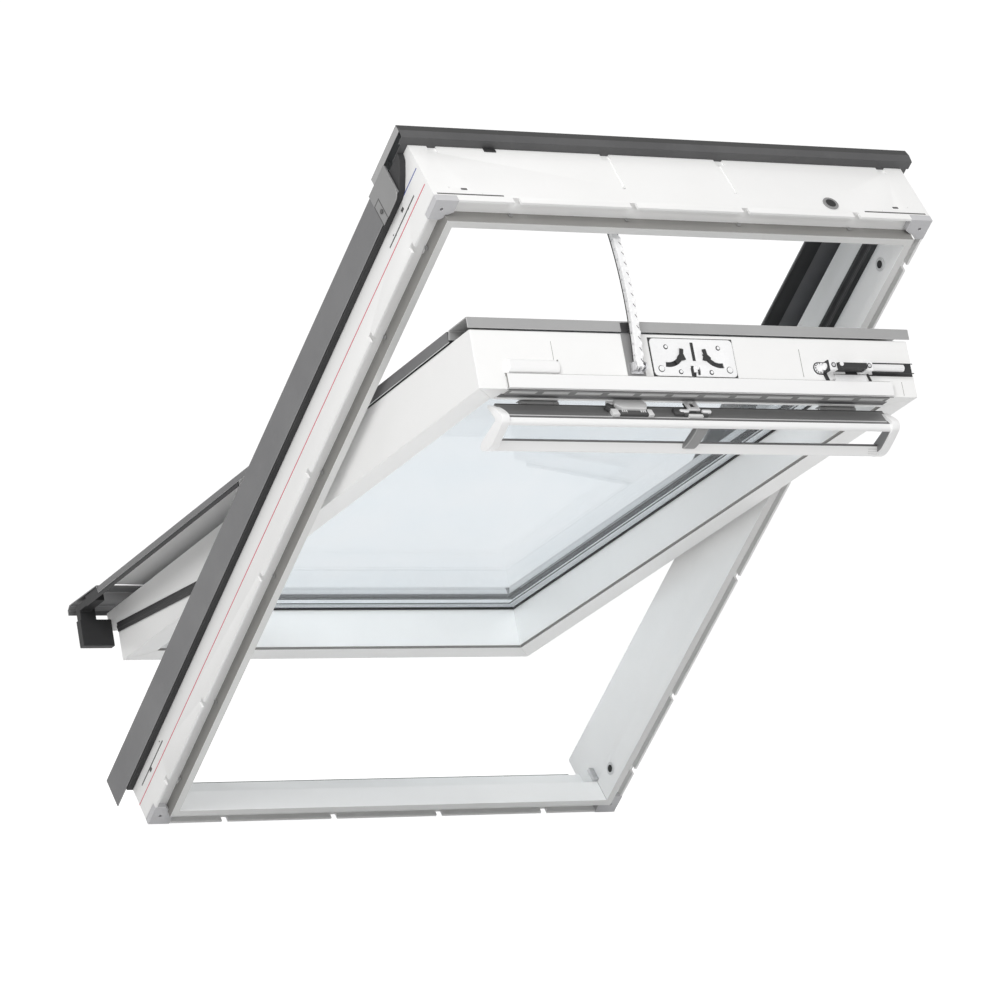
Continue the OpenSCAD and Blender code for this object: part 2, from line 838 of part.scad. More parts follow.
module sash_bottom_cladding() {
  y1 = fy + clad_tail;
  x1 = lower_clad_x;
  color(clad_light) on_sash() along_x(-x1, x1) polygon(sheet_path([
    [gb - 10, clad_z0], [gb - 6, clad_z], [y1 - 8, clad_z + 2], [y1, clad_z - 4],
    [y1, lower_clad_z]
  ], -sheet));
}

module sash_side_cladding() {
  y0 = gt + 10.4;
  y1 = gb - 10.4;
  x0 = -gx + 10;
  z1 = clad_z + 2;
  color(clad_light) on_sash() union() {
    along_y(y0, y1) polygon(sheet_path([
      [x0, clad_z0], [x0 - 4, clad_z], [-cover_in + 3, clad_z]
    ], sheet));
    along_y(y0, 2) polygon(sheet_path([
      [-cover_in + 3 + 0.5, clad_z], [-edge_x, clad_z], [-edge_x, sz1 + 1]
    ], sheet));
    along_y(lower_clad_y, y1) polygon(sheet_path([
      [-cover_in + 3.5, clad_z], [-lower_clad_x + 8, clad_z + 2],
      [-lower_clad_x, clad_z - 4], [-lower_clad_x, lower_clad_z]
    ], sheet));
  }
}

module sash_left_cladding() {
  sash_side_cladding();
}

module sash_right_cladding() {
  mirror([1, 0, 0]) sash_side_cladding();
}

// Ribbed seal that crosses the lower half of each side of the sash.
module side_seals() {
  y0 = sb * 0.33;
  y1 = sb - 3;
  z0 = sash_z + 3;
  z1 = bottom_lip_z + 2;
  h = 14;
  t = 1.2;
  color(black) on_sash() both_sides() for (k = [0 : 2]) {
    f = k * h / 3;
    along_x(-sx - seat - 2 - (k == 1 ? 0.8 : 0), -sx - seat)
      polygon([[y0, z0 + f], [y1, z1 - h + f], [y1, z1 - h + f + h / 3], [y0, z0 + f + h / 3]]);
  }
}

// Rubber block that closes the end of each side rail.
module end_blocks() {
  x0 = -lower_clad_x + sheet + seat;
  z1 = bottom_lip_z + 14;
  color(black) on_sash() both_sides() {
    block(-lower_clad_x, -sx - seat, fy + 2, lip_y, bottom_lip_z - 27, z1);
    block(x0, x0 + 26, fy + 2, lip_y - 1, z1 - eps, lower_clad_z + 6);
    block(x0, x0 + 20, fy - 44, lip_y - 1, frame_d + 2, lower_clad_z + 6);
  }
}

module data_cover() {
  x0 = -flap_half + 6;
  color(white) on_sash() along_x(x0, x0 + 77) translate([st - seat, flap_z + 2]) polygon([
    [0, 0], [-3, 1], [-5, 5], [-5.5, 10], [-5, 15], [-3, 18], [0, 19]
  ]);
}

strip_t = 1.2;                          // grey strip under the chain's bracket

module chain_strip() {
  x0 = chain_x - 14;
  color(grey) on_sash() block(x0, x0 + 28, st - strip_t, st - seat, flap_z + 1, sz1 + 0.5);
}

module chain_bracket() {
  e = 7.2;
  y1 = st - strip_t - seat;
  color(steel) on_sash() union() {
    block(chain_x - e - 2, chain_x + e + 2, st - bracket_t, y1, pin_z - 8, pin_z + 8);
    for (s = [-1, 1]) {
      translate([s > 0 ? chain_x + e : chain_x - e - 2, 0, 0]) {
        block(0, 2, pin_y, st - bracket_t + eps, pin_z - 6, pin_z + 6);
        rod_x(0, 2, pin_y, pin_z, 6);
      }
    }
    rod_x(chain_x - e - 1, chain_x + e + 1, pin_y, pin_z, chain_pin_r);
  }
}

// Lock plate, drawn in (x, z) on the sash's top face.
module on_top(t0, t1) {
  translate([0, st - t0, 0]) rotate([90, 0, 0]) linear_extrude(t1 - t0) children();
}

module ring_sector(r, w, a0, a1) {
  n = 10;
  polygon(concat(
    [for (i = [0 : n]) (r + w / 2) * [cos(a0 + (a1 - a0) * i / n), sin(a0 + (a1 - a0) * i / n)]],
    [for (i = [n : -1 : 0]) (r - w / 2) * [cos(a0 + (a1 - a0) * i / n), sin(a0 + (a1 - a0) * i / n)]]
  ));
}

cam_z = lock_z + lock_h - 12;
module cam_slot(w, a0, a1) {
  translate([-cam_x, cam_z]) ring_sector(cam_r, w, a0, a1);
}

module lock_plate() {
  r = 6;
  color(steel) on_sash() translate([lock_x, 0, 0]) on_top(seat, seat + lock_t) difference() {
    translate([-lock_w / 2 + r, lock_z + r]) offset(r = r)
      square([lock_w - 2 * r, lock_h - 2 * r]);
    translate([-2, lock_z + lock_h - 30]) square([4, 25]);
    cam_slot(7, -100, -20);
    mirror([1, 0]) cam_slot(7, -100, -20);
    translate([-4, lock_z - 1]) square([4, 12]);
    translate([4, lock_z + 3]) square([3, 10]);
    translate([-7, lock_z + 8]) square([5, 7]);
  }
}

module lock_rivets() {
  color(steel) on_sash() for (s = [-1, 1]) {
    for (p = [[cam_x, cam_z], [24, lock_z + 6]]) {
      rod_y(lock_x + s * p[0], st - lock_t - 1.4 - 2 * seat, st - lock_t - 2 * seat, p[1], 2.2);
    }
    rod_y(lock_x + s * (lock_w / 2 - 11), st - lock_t - 1.2 - 2 * seat,
      st - lock_t - 2 * seat, lock_z + 10, 4);
  }
}

module cam() {
  translate([lock_x, 0, 0]) on_top(run, lock_t + 1.2) cam_slot(6, -62, -30);
}

module cam_left() {
  color(black) on_sash() cam();
}

module cam_right() {
  color(black) on_sash() translate([2 * lock_x, 0, 0]) mirror([1, 0, 0]) cam();
}

// Grille over the air slots in the room face of the top rail.
module vent_grille() {
  n = floor(2 * flap_half / (grille_slot + 10));
  step = (2 * flap_half - 8) / n;
  color(grey) on_sash() difference() {
    block(-flap_half + 4, flap_half - 4, st + 1, st + 17, sash_z - 1.4, sash_z - seat);
    for (i = [0 : n - 1]) {
      translate([-flap_half + 4 + (i + 0.5) * step - grille_slot / 2, st + 4, sash_z - 3])
        cube([grille_slot, 9, 4]);
    }
  }
}

// ---- ventilation flap, hinged on its upper edge ----

flap_bead = 2;
flap_hinge = [st - run - flap_bead, flap_z - flap_bead];

module vent_flap() {
  y0 = st - run;
  z0 = flap_z - flap_h;
  color(white) on_sash() union() {
    rod_x(-flap_half, flap_half, flap_hinge[0], flap_hinge[1], flap_bead);
    along_x(-flap_half, flap_half) polygon([
      [y0, z0 + 0.5], [y0 - flap_t, z0], [y0 - flap_t, flap_z - 1.5],
      [y0 - flap_t + 1, flap_z - 0.5], [y0 - flap_t + 4.2, flap_z - 0.5],
      [y0 - flap_t + 4.2, flap_z - 3], [y0 - flap_t + 3.2, flap_z - 5],
      [y0 - flap_t + 3.2, z0 + 3]
    ]);
  }
}

// ---- control bar, hinged on two blocks on the sash's room face ----

block_x0 = bar_half * 0.66;
block_w = 57;
ear_w = 8;
knuckle_r = 4;

module bar_hinge_blocks() {
  z1 = sash_z - seat;
  color(grey) on_sash() both_sides() difference() {
    union() {
      block(block_x0, block_x0 + block_w, hinge_y - 5, hinge_y + 9, z1 - 0.8, z1);
      for (x = [block_x0, block_x0 + block_w - ear_w]) {
        rod_x(x, x + ear_w, hinge_y, hinge_z, knuckle_r);
        block(x, x + ear_w, hinge_y, hinge_y + knuckle_r, hinge_z, z1);
      }
    }
    rod_x(block_x0 - 1, block_x0 + block_w + 1, hinge_y, hinge_z, bar_pin_r + run / 3);
  }
}

module bar_hinge_pins() {
  color(steel) on_sash() both_sides()
    rod_x(block_x0 + 0.5, block_x0 + block_w - 0.5, hinge_y, hinge_z, bar_pin_r);
}

// Channel: a plate from beside the hinge line to the rounded edge.
channel_a = atan2(edge_z - hinge_z, edge_y - hinge_y);
channel_u0 = knuckle_r + 1;
channel_u1 = norm([edge_z - hinge_z, edge_y - hinge_y]) - bar_edge_r - seat;

module bar_channel() {
  cap = bar_half - bar_cap_t - seat;
  color(grey) on_sash() along_x(-cap, cap) translate([hinge_y, hinge_z]) rotate(channel_a)
    translate([channel_u0, -bar_t]) square([channel_u1 - channel_u0, bar_t]);
}

// Knuckles that join the channel to the hinge pins, between each block's ears.
module bar_knuckles() {
  x0 = block_x0 + ear_w + run;
  x1 = block_x0 + block_w - ear_w - run;
  color(grey) on_sash() both_sides() difference() {
    union() {
      rod_x(x0, x1, hinge_y, hinge_z, knuckle_r);
      along_x(x0, x1) translate([hinge_y, hinge_z]) rotate(channel_a)
        translate([0, -bar_t]) square([channel_u0 - seat / 4, bar_t]);
    }
    rod_x(x0 - 1, x1 + 1, hinge_y, hinge_z, bar_pin_r + run);
  }
}

module bar_edge() {
  cap = bar_half - bar_cap_t - seat;
  color(white) on_sash() along_x(-cap, cap) translate([edge_y, edge_z]) {
    circle(r = bar_edge_r);
    translate([-bar_edge_r, -1]) square([2 * bar_edge_r, 5]);
  }
}

module bar_grip() {
  cap = bar_half - bar_cap_t - seat;
  color(white) on_sash() along_x(-cap, cap) translate([grip_y, grip_z]) rotate(25)
    offset(r = 2.5) square([4, 11], center = true);
}

// Middle arm and end caps reach from the channel round to the grip.
module arm_outline(w) {
  a0 = atan2(edge_z - grip_z, edge_y - grip_y);
  translate([edge_y, edge_z]) circle(r = w);
  translate([edge_y, edge_z]) rotate(a0 + 180) translate([0, -w])
    square([norm([edge_z - grip_z, edge_y - grip_y]), 2 * w]);
}

module bar_arm() {
  color(white_grey) on_sash() along_x(-bar_arm_w / 2, bar_arm_w / 2) difference() {
    arm_outline(bar_edge_r);
    translate([edge_y, edge_z]) circle(r = bar_edge_r + seat);
    translate([edge_y - bar_edge_r - seat, edge_z - 1]) square([2 * bar_edge_r + 2 * seat, 7]);
    translate([grip_y, grip_z]) rotate(25) offset(r = 2.5 + seat)
      square([4, 11], center = true);
  }
}

module cap_outline() {
  polygon([
    [hinge_y - 4, hinge_z - 4.5], [edge_y - 7, edge_z + 9], [edge_y - 8, edge_z],
    [edge_y - 4, edge_z - 8], [grip_y - 16, grip_z - 6], [grip_y + 2, grip_z - 8],
    [grip_y + 12, grip_z - 5], [grip_y + 15, grip_z + 3], [grip_y + 8, grip_z + 8],
    [edge_y + 16, edge_z + 4], [hinge_y - 1, hinge_z - 9], [hinge_y + 3, hinge_z - 4.5]
  ]);
}

module bar_caps() {
  color(white) on_sash() both_sides()
    along_x(bar_half - bar_cap_t, bar_half) cap_outline();
}

// Lock box and latch stand on the channel's upper face.
module on_channel() {
  translate([0, hinge_y, hinge_z]) rotate([channel_a, 0, 0]) translate([0, 0, -bar_t - seat])
    children();
}

module lock_box() {
  x0 = chain_x - 34;
  color(clad_light) on_sash() on_channel() {
    translate([x0, 8, -9]) cube([60, 20, 9]);
    translate([x0 + 8, 5, -12]) cube([44, 18, 8]);
    translate([x0 + 20, 4, -7]) cube([20, 6, 6]);
  }
}

module latch() {
  color(steel) on_sash() on_channel() {
    translate([-34, 12, -4]) cube([50, 12, 4]);
    translate([-16, 6, -10]) cube([18, 10, 7]);
    translate([-13, 4, -12]) cube([4, 12, 10]);
    translate([-5, 4, -12]) cube([4, 12, 10]);
  }
}

// ---- barrel bolt on the sash's top face ----

bolt_y = st - bolt_r - 2.4;
bolt_end = sx - bolt_tip;

module bolt_housing() {
  h = 7.5;
  r = bolt_r + run;
  color(steel) on_sash() difference() {
    union() {
      block(bolt_x, bolt_x + 40, st - 2, st - seat, bolt_z - h, bolt_z + h);
      rod_y(bolt_x, st - 2, st - seat, bolt_z, h);
      for (x = [bolt_x + 8, bolt_x + 66]) {
        block(x, x + 12, bolt_y - r - 2, st - 2 + eps, bolt_z - h + 0.5, bolt_z + h - 0.5);
      }
      block(bolt_x + 60, bolt_x + 84, st - 2, st - seat, bolt_z - h, bolt_z + h);
    }
    rod_x(bolt_x + 2, bolt_x + 90, bolt_y, bolt_z, r);
  }
}

module bolt_rod() {
  color(steel) on_sash() {
    rod_x(bolt_x + 4, bolt_end, bolt_y, bolt_z, bolt_r);
    rod_y(bolt_x + 25, bolt_y - 12, bolt_y, bolt_z, 3);
  }
}

// ---- the nodes ----

frame_top_rail();
frame_bottom_rail();
frame_left_rail();
frame_right_rail();
lining_corners();
lining_screws();
frame_top_cladding();
frame_bottom_cladding();
side_flange_left();
side_flange_right();
side_cover_left();
side_cover_right();
corner_cover_left();
corner_cover_right();
corner_cover_screws();
flange_gaskets();
reveal_gaskets();
cover_gaskets();
cable_gland();
bolt_bushes();
pivot_housings();
chain_operator();
chain();
striker();
sash_top_rail();
sash_bottom_rail();
sash_left_rail();
sash_right_rail();
pane_inner();
pane_outer();
glass_spacer();
glazing_seals();
sash_top_cladding();
sash_bottom_cladding();
sash_left_cladding();
sash_right_cladding();
side_seals();
end_blocks();
pivot_plates();
data_cover();
chain_strip();
chain_bracket();
lock_plate();
lock_rivets();
vent_grille();
bar_hinge_blocks();
bar_hinge_pins();
bolt_housing();
vent_flap();
bar_channel();
bar_knuckles();
bar_edge();
bar_grip();
bar_arm();
bar_caps();
lock_box();
latch();
bolt_rod();
cam_left();
cam_right();
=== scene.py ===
"""Looks of a centre-pivot roof skylight: white frame and sash, grey cladding, chain operator.

Every piece is built in the millimetres of the window plane: x to the right as seen from the
room, y down the slope and z outward. A Plane carries those places to the row frame, and the
open sash has a plane of its own, in which it is drawn closed.
"""

import json
import logging
import math
from dataclasses import dataclass, field
from enum import Enum
from typing import Callable, Iterable, Optional, Sequence

import bmesh
import bpy
from mathutils import Matrix, Vector
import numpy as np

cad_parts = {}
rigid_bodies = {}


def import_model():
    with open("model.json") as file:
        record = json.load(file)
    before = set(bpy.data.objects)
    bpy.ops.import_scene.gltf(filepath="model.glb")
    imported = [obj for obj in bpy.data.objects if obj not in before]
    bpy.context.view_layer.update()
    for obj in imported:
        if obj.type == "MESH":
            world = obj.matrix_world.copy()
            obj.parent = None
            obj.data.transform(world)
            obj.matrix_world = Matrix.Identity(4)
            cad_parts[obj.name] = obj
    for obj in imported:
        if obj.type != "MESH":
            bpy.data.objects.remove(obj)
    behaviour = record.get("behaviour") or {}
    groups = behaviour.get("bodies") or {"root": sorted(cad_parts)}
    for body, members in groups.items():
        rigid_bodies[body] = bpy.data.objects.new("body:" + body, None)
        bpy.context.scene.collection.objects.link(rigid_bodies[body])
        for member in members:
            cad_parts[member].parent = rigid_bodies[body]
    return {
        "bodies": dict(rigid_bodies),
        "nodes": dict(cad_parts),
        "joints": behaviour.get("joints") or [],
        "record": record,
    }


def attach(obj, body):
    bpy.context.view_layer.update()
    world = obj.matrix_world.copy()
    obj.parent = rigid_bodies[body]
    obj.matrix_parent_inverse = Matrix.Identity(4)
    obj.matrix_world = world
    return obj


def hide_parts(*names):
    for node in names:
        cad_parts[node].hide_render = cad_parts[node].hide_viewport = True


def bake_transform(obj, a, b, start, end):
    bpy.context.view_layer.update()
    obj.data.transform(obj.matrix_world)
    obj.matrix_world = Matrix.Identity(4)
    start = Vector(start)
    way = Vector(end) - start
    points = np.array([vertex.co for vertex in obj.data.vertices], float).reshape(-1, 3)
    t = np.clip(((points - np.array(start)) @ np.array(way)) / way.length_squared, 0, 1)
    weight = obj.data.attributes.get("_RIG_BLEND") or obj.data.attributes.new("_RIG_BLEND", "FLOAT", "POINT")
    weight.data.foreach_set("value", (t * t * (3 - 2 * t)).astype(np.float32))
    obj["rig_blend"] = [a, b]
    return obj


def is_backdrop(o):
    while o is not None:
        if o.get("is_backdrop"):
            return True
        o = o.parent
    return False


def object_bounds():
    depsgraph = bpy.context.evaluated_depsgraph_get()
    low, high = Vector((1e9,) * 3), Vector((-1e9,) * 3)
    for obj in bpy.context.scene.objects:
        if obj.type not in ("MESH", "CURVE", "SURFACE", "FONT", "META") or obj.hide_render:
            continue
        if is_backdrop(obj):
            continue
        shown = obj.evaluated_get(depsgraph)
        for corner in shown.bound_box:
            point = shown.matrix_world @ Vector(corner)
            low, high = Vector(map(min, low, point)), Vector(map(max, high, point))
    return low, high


LOG = logging.getLogger("skylight")
MM = 0.001
Span = tuple[float, float]
Point = tuple[float, float]
Colour = tuple[float, float, float, float]
Groups = dict[str, bpy.types.NodeTree]
Started = tuple[bpy.types.NodeTree, bpy.types.Node, bpy.types.Node]


class Axis(Enum):
    """Directions of the window plane that a piece can run along."""

    X = 0
    Y = 1
    Z = 2

    @property
    def vector(self) -> Vector:
        """Unit vector along the axis."""
        return Vector([float(i == self.value) for i in range(3)])


class Body(Enum):
    """Moving groups of the window."""

    FRAME = "frame"
    SASH = "sash"
    FLAP = "flap"
    BAR = "bar"
    BOLT = "bolt"
    CAM_L = "cam_l"
    CAM_R = "cam_r"


# ---------------------------------------------------------------- node groups


@dataclass
class Sockets:
    """Wires nodes of one tree with little writing."""

    tree: bpy.types.NodeTree

    def add(self, kind: str, **values: object) -> bpy.types.Node:
        """Adds a node.

        Args:
            kind: The node's type.
            values: Properties of the node; a key that names an input sets its value.

        Returns:
            The new node.
        """
        node = self.tree.nodes.new(kind)
        for key, value in values.items():
            if hasattr(node, key):
                setattr(node, key, value)
            else:
                node.inputs[key.replace("_", " ")].default_value = value
        return node

    def join(self, source: bpy.types.NodeSocket, target: bpy.types.NodeSocket) -> None:
        """Links one socket to another."""
        self.tree.links.new(source, target)

    def compute(self, operation: str, *sources: bpy.types.NodeSocket,
                clamp: bool = False) -> bpy.types.NodeSocket:
        """Adds a math node.

        Args:
            operation: What it does.
            sources: What feeds its inputs, in their order.
            clamp: Whether the result stays between 0 and 1.

        Returns:
            Its output.
        """
        node = self.add("ShaderNodeMath", operation=operation, use_clamp=clamp)
        for index, source in enumerate(sources):
            self.join(source, node.inputs[index])
        return node.outputs[0]

    def mix(self, factor: bpy.types.NodeSocket, first: bpy.types.NodeSocket,
            second: bpy.types.NodeSocket) -> bpy.types.NodeSocket:
        """Adds a mix of two colours.

        Args:
            factor: Share of the second colour.
            first: The first colour.
            second: The second colour.

        Returns:
            Its output.
        """
        node = self.add("ShaderNodeMix", data_type="RGBA")
        for label, source in (("Factor", factor), ("A", first), ("B", second)):
            self.join(source, node.inputs[label])
        return node.outputs["Result"]

    def split_rays(self, kind: str, these: bpy.types.NodeSocket, others: bpy.types.NodeSocket) -> None:
        """Gives one kind of ray its own shader at the tree's output.

        Args:
            kind: The light path output that names the rays.
            these: Shader for those rays.
            others: Shader for all other rays.
        """
        rays = self.add("ShaderNodeLightPath")
        choice = self.add("ShaderNodeMixShader")
        self.join(rays.outputs[kind], choice.inputs["Fac"])
        self.join(others, choice.inputs[1])
        self.join(these, choice.inputs[2])
        output = next(n for n in self.tree.nodes if n.type.startswith("OUTPUT_"))
        self.join(choice.outputs["Shader"], output.inputs["Surface"])


def new_group(name: str, inputs: Sequence[tuple[str, str, object]],
              outputs: Sequence[tuple[str, str]]) -> Started:
    """Starts a shader node group.

    Args:
        name: The group's name.
        inputs: Name, socket type and default of each input.
        outputs: Name and socket type of each output.

    Returns:
        The tree, its input node and its output node.
    """
    tree = bpy.data.node_groups.new(name, "ShaderNodeTree")
    for label, kind, default in inputs:
        tree.interface.new_socket(label, in_out="INPUT", socket_type=kind).default_value = default
    for label, kind in outputs:
        tree.interface.new_socket(label, in_out="OUTPUT", socket_type=kind)
    return tree, tree.nodes.new("NodeGroupInput"), tree.nodes.new("NodeGroupOutput")


FLOAT = "NodeSocketFloat"
COLOUR = "NodeSocketColor"


def build_film_group() -> bpy.types.NodeTree:
    """Lacquer or moulded skin: clouded tone, fine texture, dust and paler worn edges.

    Returns:
        A group with the outputs Colour, Roughness and Height.
    """
    tree, start, end = new_group("surface_film", [
        ("Colour", COLOUR, (0.8, 0.8, 0.8, 1)), ("Dust Colour", COLOUR, (0.5, 0.5, 0.48, 1)),
        ("Edge Colour", COLOUR, (1, 1, 1, 1)), ("Cloud Scale", FLOAT, 9), ("Grain Scale", FLOAT, 900),
        ("Cloud", FLOAT, 0.04), ("Dust", FLOAT, 0.04), ("Edge", FLOAT, 0.2),
        ("Roughness", FLOAT, 0.4), ("Roughness Spread", FLOAT, 0.08)],
        [("Colour", COLOUR), ("Roughness", FLOAT), ("Height", FLOAT)])
    wire = Sockets(tree)
    place = wire.add("ShaderNodeTexCoord")
    cloud = wire.add("ShaderNodeTexNoise", Detail=4.0, Roughness=0.6)
    grain = wire.add("ShaderNodeTexNoise", Detail=2.0, Roughness=0.5)
    specks = wire.add("ShaderNodeTexNoise", Detail=5.0, Roughness=0.75, Scale=46.0)
    for noise, scale in ((cloud, "Cloud Scale"), (grain, "Grain Scale")):
        wire.join(place.outputs["Object"], noise.inputs["Vector"])
        wire.join(start.outputs[scale], noise.inputs["Scale"])
    wire.join(place.outputs["Object"], specks.inputs["Vector"])
    shade = wire.add("ShaderNodeMapRange", To_Min=1.0, To_Max=0.0, From_Min=0.35, From_Max=0.65)
    wire.join(cloud.outputs["Fac"], shade.inputs["Value"])
    fleck = wire.add("ShaderNodeMapRange", From_Min=0.56, From_Max=0.78)
    wire.join(specks.outputs["Fac"], fleck.inputs["Value"])
    rim = wire.add("ShaderNodeAttribute", attribute_name=RIM)
    tone = start.outputs["Colour"]
    for mask, amount, colour in ((shade.outputs["Result"], "Cloud", "Dust Colour"),
                                 (fleck.outputs["Result"], "Dust", "Dust Colour"),
                                 (rim.outputs["Fac"], "Edge", "Edge Colour")):
        share = wire.compute("MULTIPLY", mask, start.outputs[amount])
        tone = wire.mix(share, tone, start.outputs[colour])
    wire.join(tone, end.inputs["Colour"])
    gloss = wire.compute("MULTIPLY_ADD", cloud.outputs["Fac"], start.outputs["Roughness Spread"],
                         start.outputs["Roughness"])
    wire.join(gloss, end.inputs["Roughness"])
    wire.join(grain.outputs["Fac"], end.inputs["Height"])
    return tree


def build_brush_group() -> bpy.types.NodeTree:
    """Drawn or plated metal: streaks along x over a faint crystal pattern.

    Returns:
        A group with the outputs Colour, Roughness and Height.
    """
    tree, start, end = new_group("drawn_metal", [
        ("Colour", COLOUR, (0.6, 0.6, 0.6, 1)), ("Dark Colour", COLOUR, (0.3, 0.3, 0.3, 1)),
        ("Streak", FLOAT, 0.3), ("Crystal", FLOAT, 0.2), ("Roughness", FLOAT, 0.3),
        ("Roughness Spread", FLOAT, 0.15)],
        [("Colour", COLOUR), ("Roughness", FLOAT), ("Height", FLOAT)])
    wire = Sockets(tree)
    place = wire.add("ShaderNodeTexCoord")
    turn = wire.add("ShaderNodeMapping")
    turn.inputs["Scale"].default_value = (12, 900, 900)
    wire.join(place.outputs["Object"], turn.inputs["Vector"])
    streak = wire.add("ShaderNodeTexNoise", Detail=3.0, Roughness=0.6, Scale=1.0)
    wire.join(turn.outputs["Vector"], streak.inputs["Vector"])
    crystal = wire.add("ShaderNodeTexVoronoi", Scale=420.0)
    wire.join(place.outputs["Object"], crystal.inputs["Vector"])
    tone = wire.add("ShaderNodeSeparateColor")
    wire.join(crystal.outputs["Color"], tone.inputs["Color"])
    weights = [wire.compute("MULTIPLY", source, start.outputs[amount])
               for source, amount in ((streak.outputs["Fac"], "Streak"), (tone.outputs["Red"], "Crystal"))]
    total = wire.compute("ADD", *weights, clamp=True)
    mixed = wire.mix(total, start.outputs["Colour"], start.outputs["Dark Colour"])
    wire.join(mixed, end.inputs["Colour"])
    gloss = wire.compute("MULTIPLY_ADD", streak.outputs["Fac"], start.outputs["Roughness Spread"],
                         start.outputs["Roughness"])
    wire.join(gloss, end.inputs["Roughness"])
    wire.join(streak.outputs["Fac"], end.inputs["Height"])
    return tree


# ------------------------------------------------------------------- finishes


def grey(level: float, blue: float = 0.0) -> Colour:
    """Linear grey with a little more or less blue."""
    return (level, level, level + blue, 1.0)


@dataclass(frozen=True)
class FilmFinish:
    """Lacquer, powder coat, rubber or moulded plastic.

    Attributes:
        name: Material's name.
        slot: The record's material slot.
        colour: Linear base colour.
        dust_colour: Colour of clouds and specks.
        edge_colour: Colour that worn edges tend to.
        cloud: Strength of the clouds.
        dust: Strength of the specks.
        edge: Strength of the worn edges.
        roughness: Lowest roughness.
        spread: How much the clouds add to it.
        grain_scale: Fineness of the grain.
        bump: Height of the grain.
        metallic: Share of metal.
        coat: Weight of the clear coat.
    """

    name: str
    slot: str
    colour: Colour
    dust_colour: Colour
    edge_colour: Colour = (1, 1, 1, 1)
    cloud: float = 0.05
    dust: float = 0.04
    edge: float = 0.15
    roughness: float = 0.4
    spread: float = 0.08
    grain_scale: float = 900.0
    bump: float = 0.02
    metallic: float = 0.0
    coat: float = 0.0

    def build(self, groups: Groups) -> bpy.types.Material:
        """Makes the material.

        Args:
            groups: The shared node groups.

        Returns:
            The finished material.
        """
        material, wire, shader = new_material(self.name)
        skin = wire.add("ShaderNodeGroup", node_tree=groups["film"])
        for label, value in (("Colour", self.colour), ("Dust Colour", self.dust_colour),
                             ("Edge Colour", self.edge_colour), ("Cloud", self.cloud),
                             ("Dust", self.dust), ("Edge", self.edge), ("Grain Scale", self.grain_scale),
                             ("Roughness", self.roughness), ("Roughness Spread", self.spread)):
            skin.inputs[label].default_value = value
        connect_skin(wire, skin, shader, self.bump)
        shader.inputs["Metallic"].default_value = self.metallic
        shader.inputs["Coat Weight"].default_value = self.coat
        shader.inputs["Coat Roughness"].default_value = COAT_ROUGHNESS
        return material


@dataclass(frozen=True)
class MetalFinish:
    """Plated, anodised or blackened metal with a drawn surface.

    Attributes:
        name: Material's name.
        slot: The record's material slot.
        colour: Linear base colour.
        dark_colour: Colour of streaks and crystals.
        streak: Strength of the streaks.
        crystal: Strength of the crystals.
        roughness: Lowest roughness.
        spread: How much the streaks add to it.
        bump: Depth of the streaks.
        metallic: Share of metal.
    """

    name: str
    slot: str
    colour: Colour
    dark_colour: Colour
    streak: float = 0.3
    crystal: float = 0.2
    roughness: float = 0.28
    spread: float = 0.15
    bump: float = 0.02
    metallic: float = 1.0

    def build(self, groups: Groups) -> bpy.types.Material:
        """Makes the material.

        Args:
            groups: The shared node groups.

        Returns:
            The finished material.
        """
        material, wire, shader = new_material(self.name)
        skin = wire.add("ShaderNodeGroup", node_tree=groups["brush"])
        for label, value in (("Colour", self.colour), ("Dark Colour", self.dark_colour),
                             ("Streak", self.streak), ("Crystal", self.crystal),
                             ("Roughness", self.roughness), ("Roughness Spread", self.spread)):
            skin.inputs[label].default_value = value
        connect_skin(wire, skin, shader, self.bump)
        shader.inputs["Metallic"].default_value = self.metallic
        return material


@dataclass(frozen=True)
class GlassFinish:
    """Clear coated glass that lets light through its shadow.

    Attributes:
        name: Material's name.
        slot: The record's material slot.
        colour: Tint of the light that passes.
        haze: Colour of the clouds on it.
        shadow: Tint of its shadow.
        smear: How much the clouds add to its roughness.
        bend: Index of refraction.
    """

    name: str
    slot: str
    colour: Colour = (0.865, 0.885, 0.90, 1)
    haze: Colour = (0.80, 0.85, 0.88, 1)
    shadow: Colour = (0.93, 0.95, 0.96, 1)
    smear: float = 0.05
    bend: float = 1.12

    def build(self, groups: Groups) -> bpy.types.Material:
        """Makes the material.

        Args:
            groups: The shared node groups.

        Returns:
            The finished material.
        """
        material, wire, shader = new_material(self.name)
        skin = wire.add("ShaderNodeGroup", node_tree=groups["film"])
        for label, value in (("Colour", self.colour), ("Dust Colour", self.haze),
                             ("Cloud", 0.3), ("Dust", 0.05), ("Edge", 0.0), ("Grain Scale", 60.0),
                             ("Roughness", 0.0), ("Roughness Spread", self.smear)):
            skin.inputs[label].default_value = value
        wire.join(skin.outputs["Colour"], shader.inputs["Base Color"])
        wire.join(skin.outputs["Roughness"], shader.inputs["Roughness"])
        shader.inputs["Metallic"].default_value = 0.0
        shader.inputs["Transmission Weight"].default_value = 1.0
        shader.inputs["IOR"].default_value = self.bend
        shader.inputs["Specular IOR Level"].default_value = 0.5
        clear = wire.add("ShaderNodeBsdfTransparent", Color=self.shadow)
        wire.split_rays("Is Shadow Ray", clear.outputs["BSDF"], shader.outputs["BSDF"])
        return material


COAT_ROUGHNESS = 0.12
GRAIN_DEPTH = 0.0004
Finish = FilmFinish | MetalFinish | GlassFinish
Painter = Callable[[Vector, Vector], int]


def new_material(name: str) -> tuple[bpy.types.Material, Sockets, bpy.types.Node]:
    """Starts a node material.

    Args:
        name: The material's name.

    Returns:
        The material, its wiring helper and its principled shader.
    """
    material = bpy.data.materials.new(name)
    material.use_nodes = True
    return material, Sockets(material.node_tree), material.node_tree.nodes["Principled BSDF"]


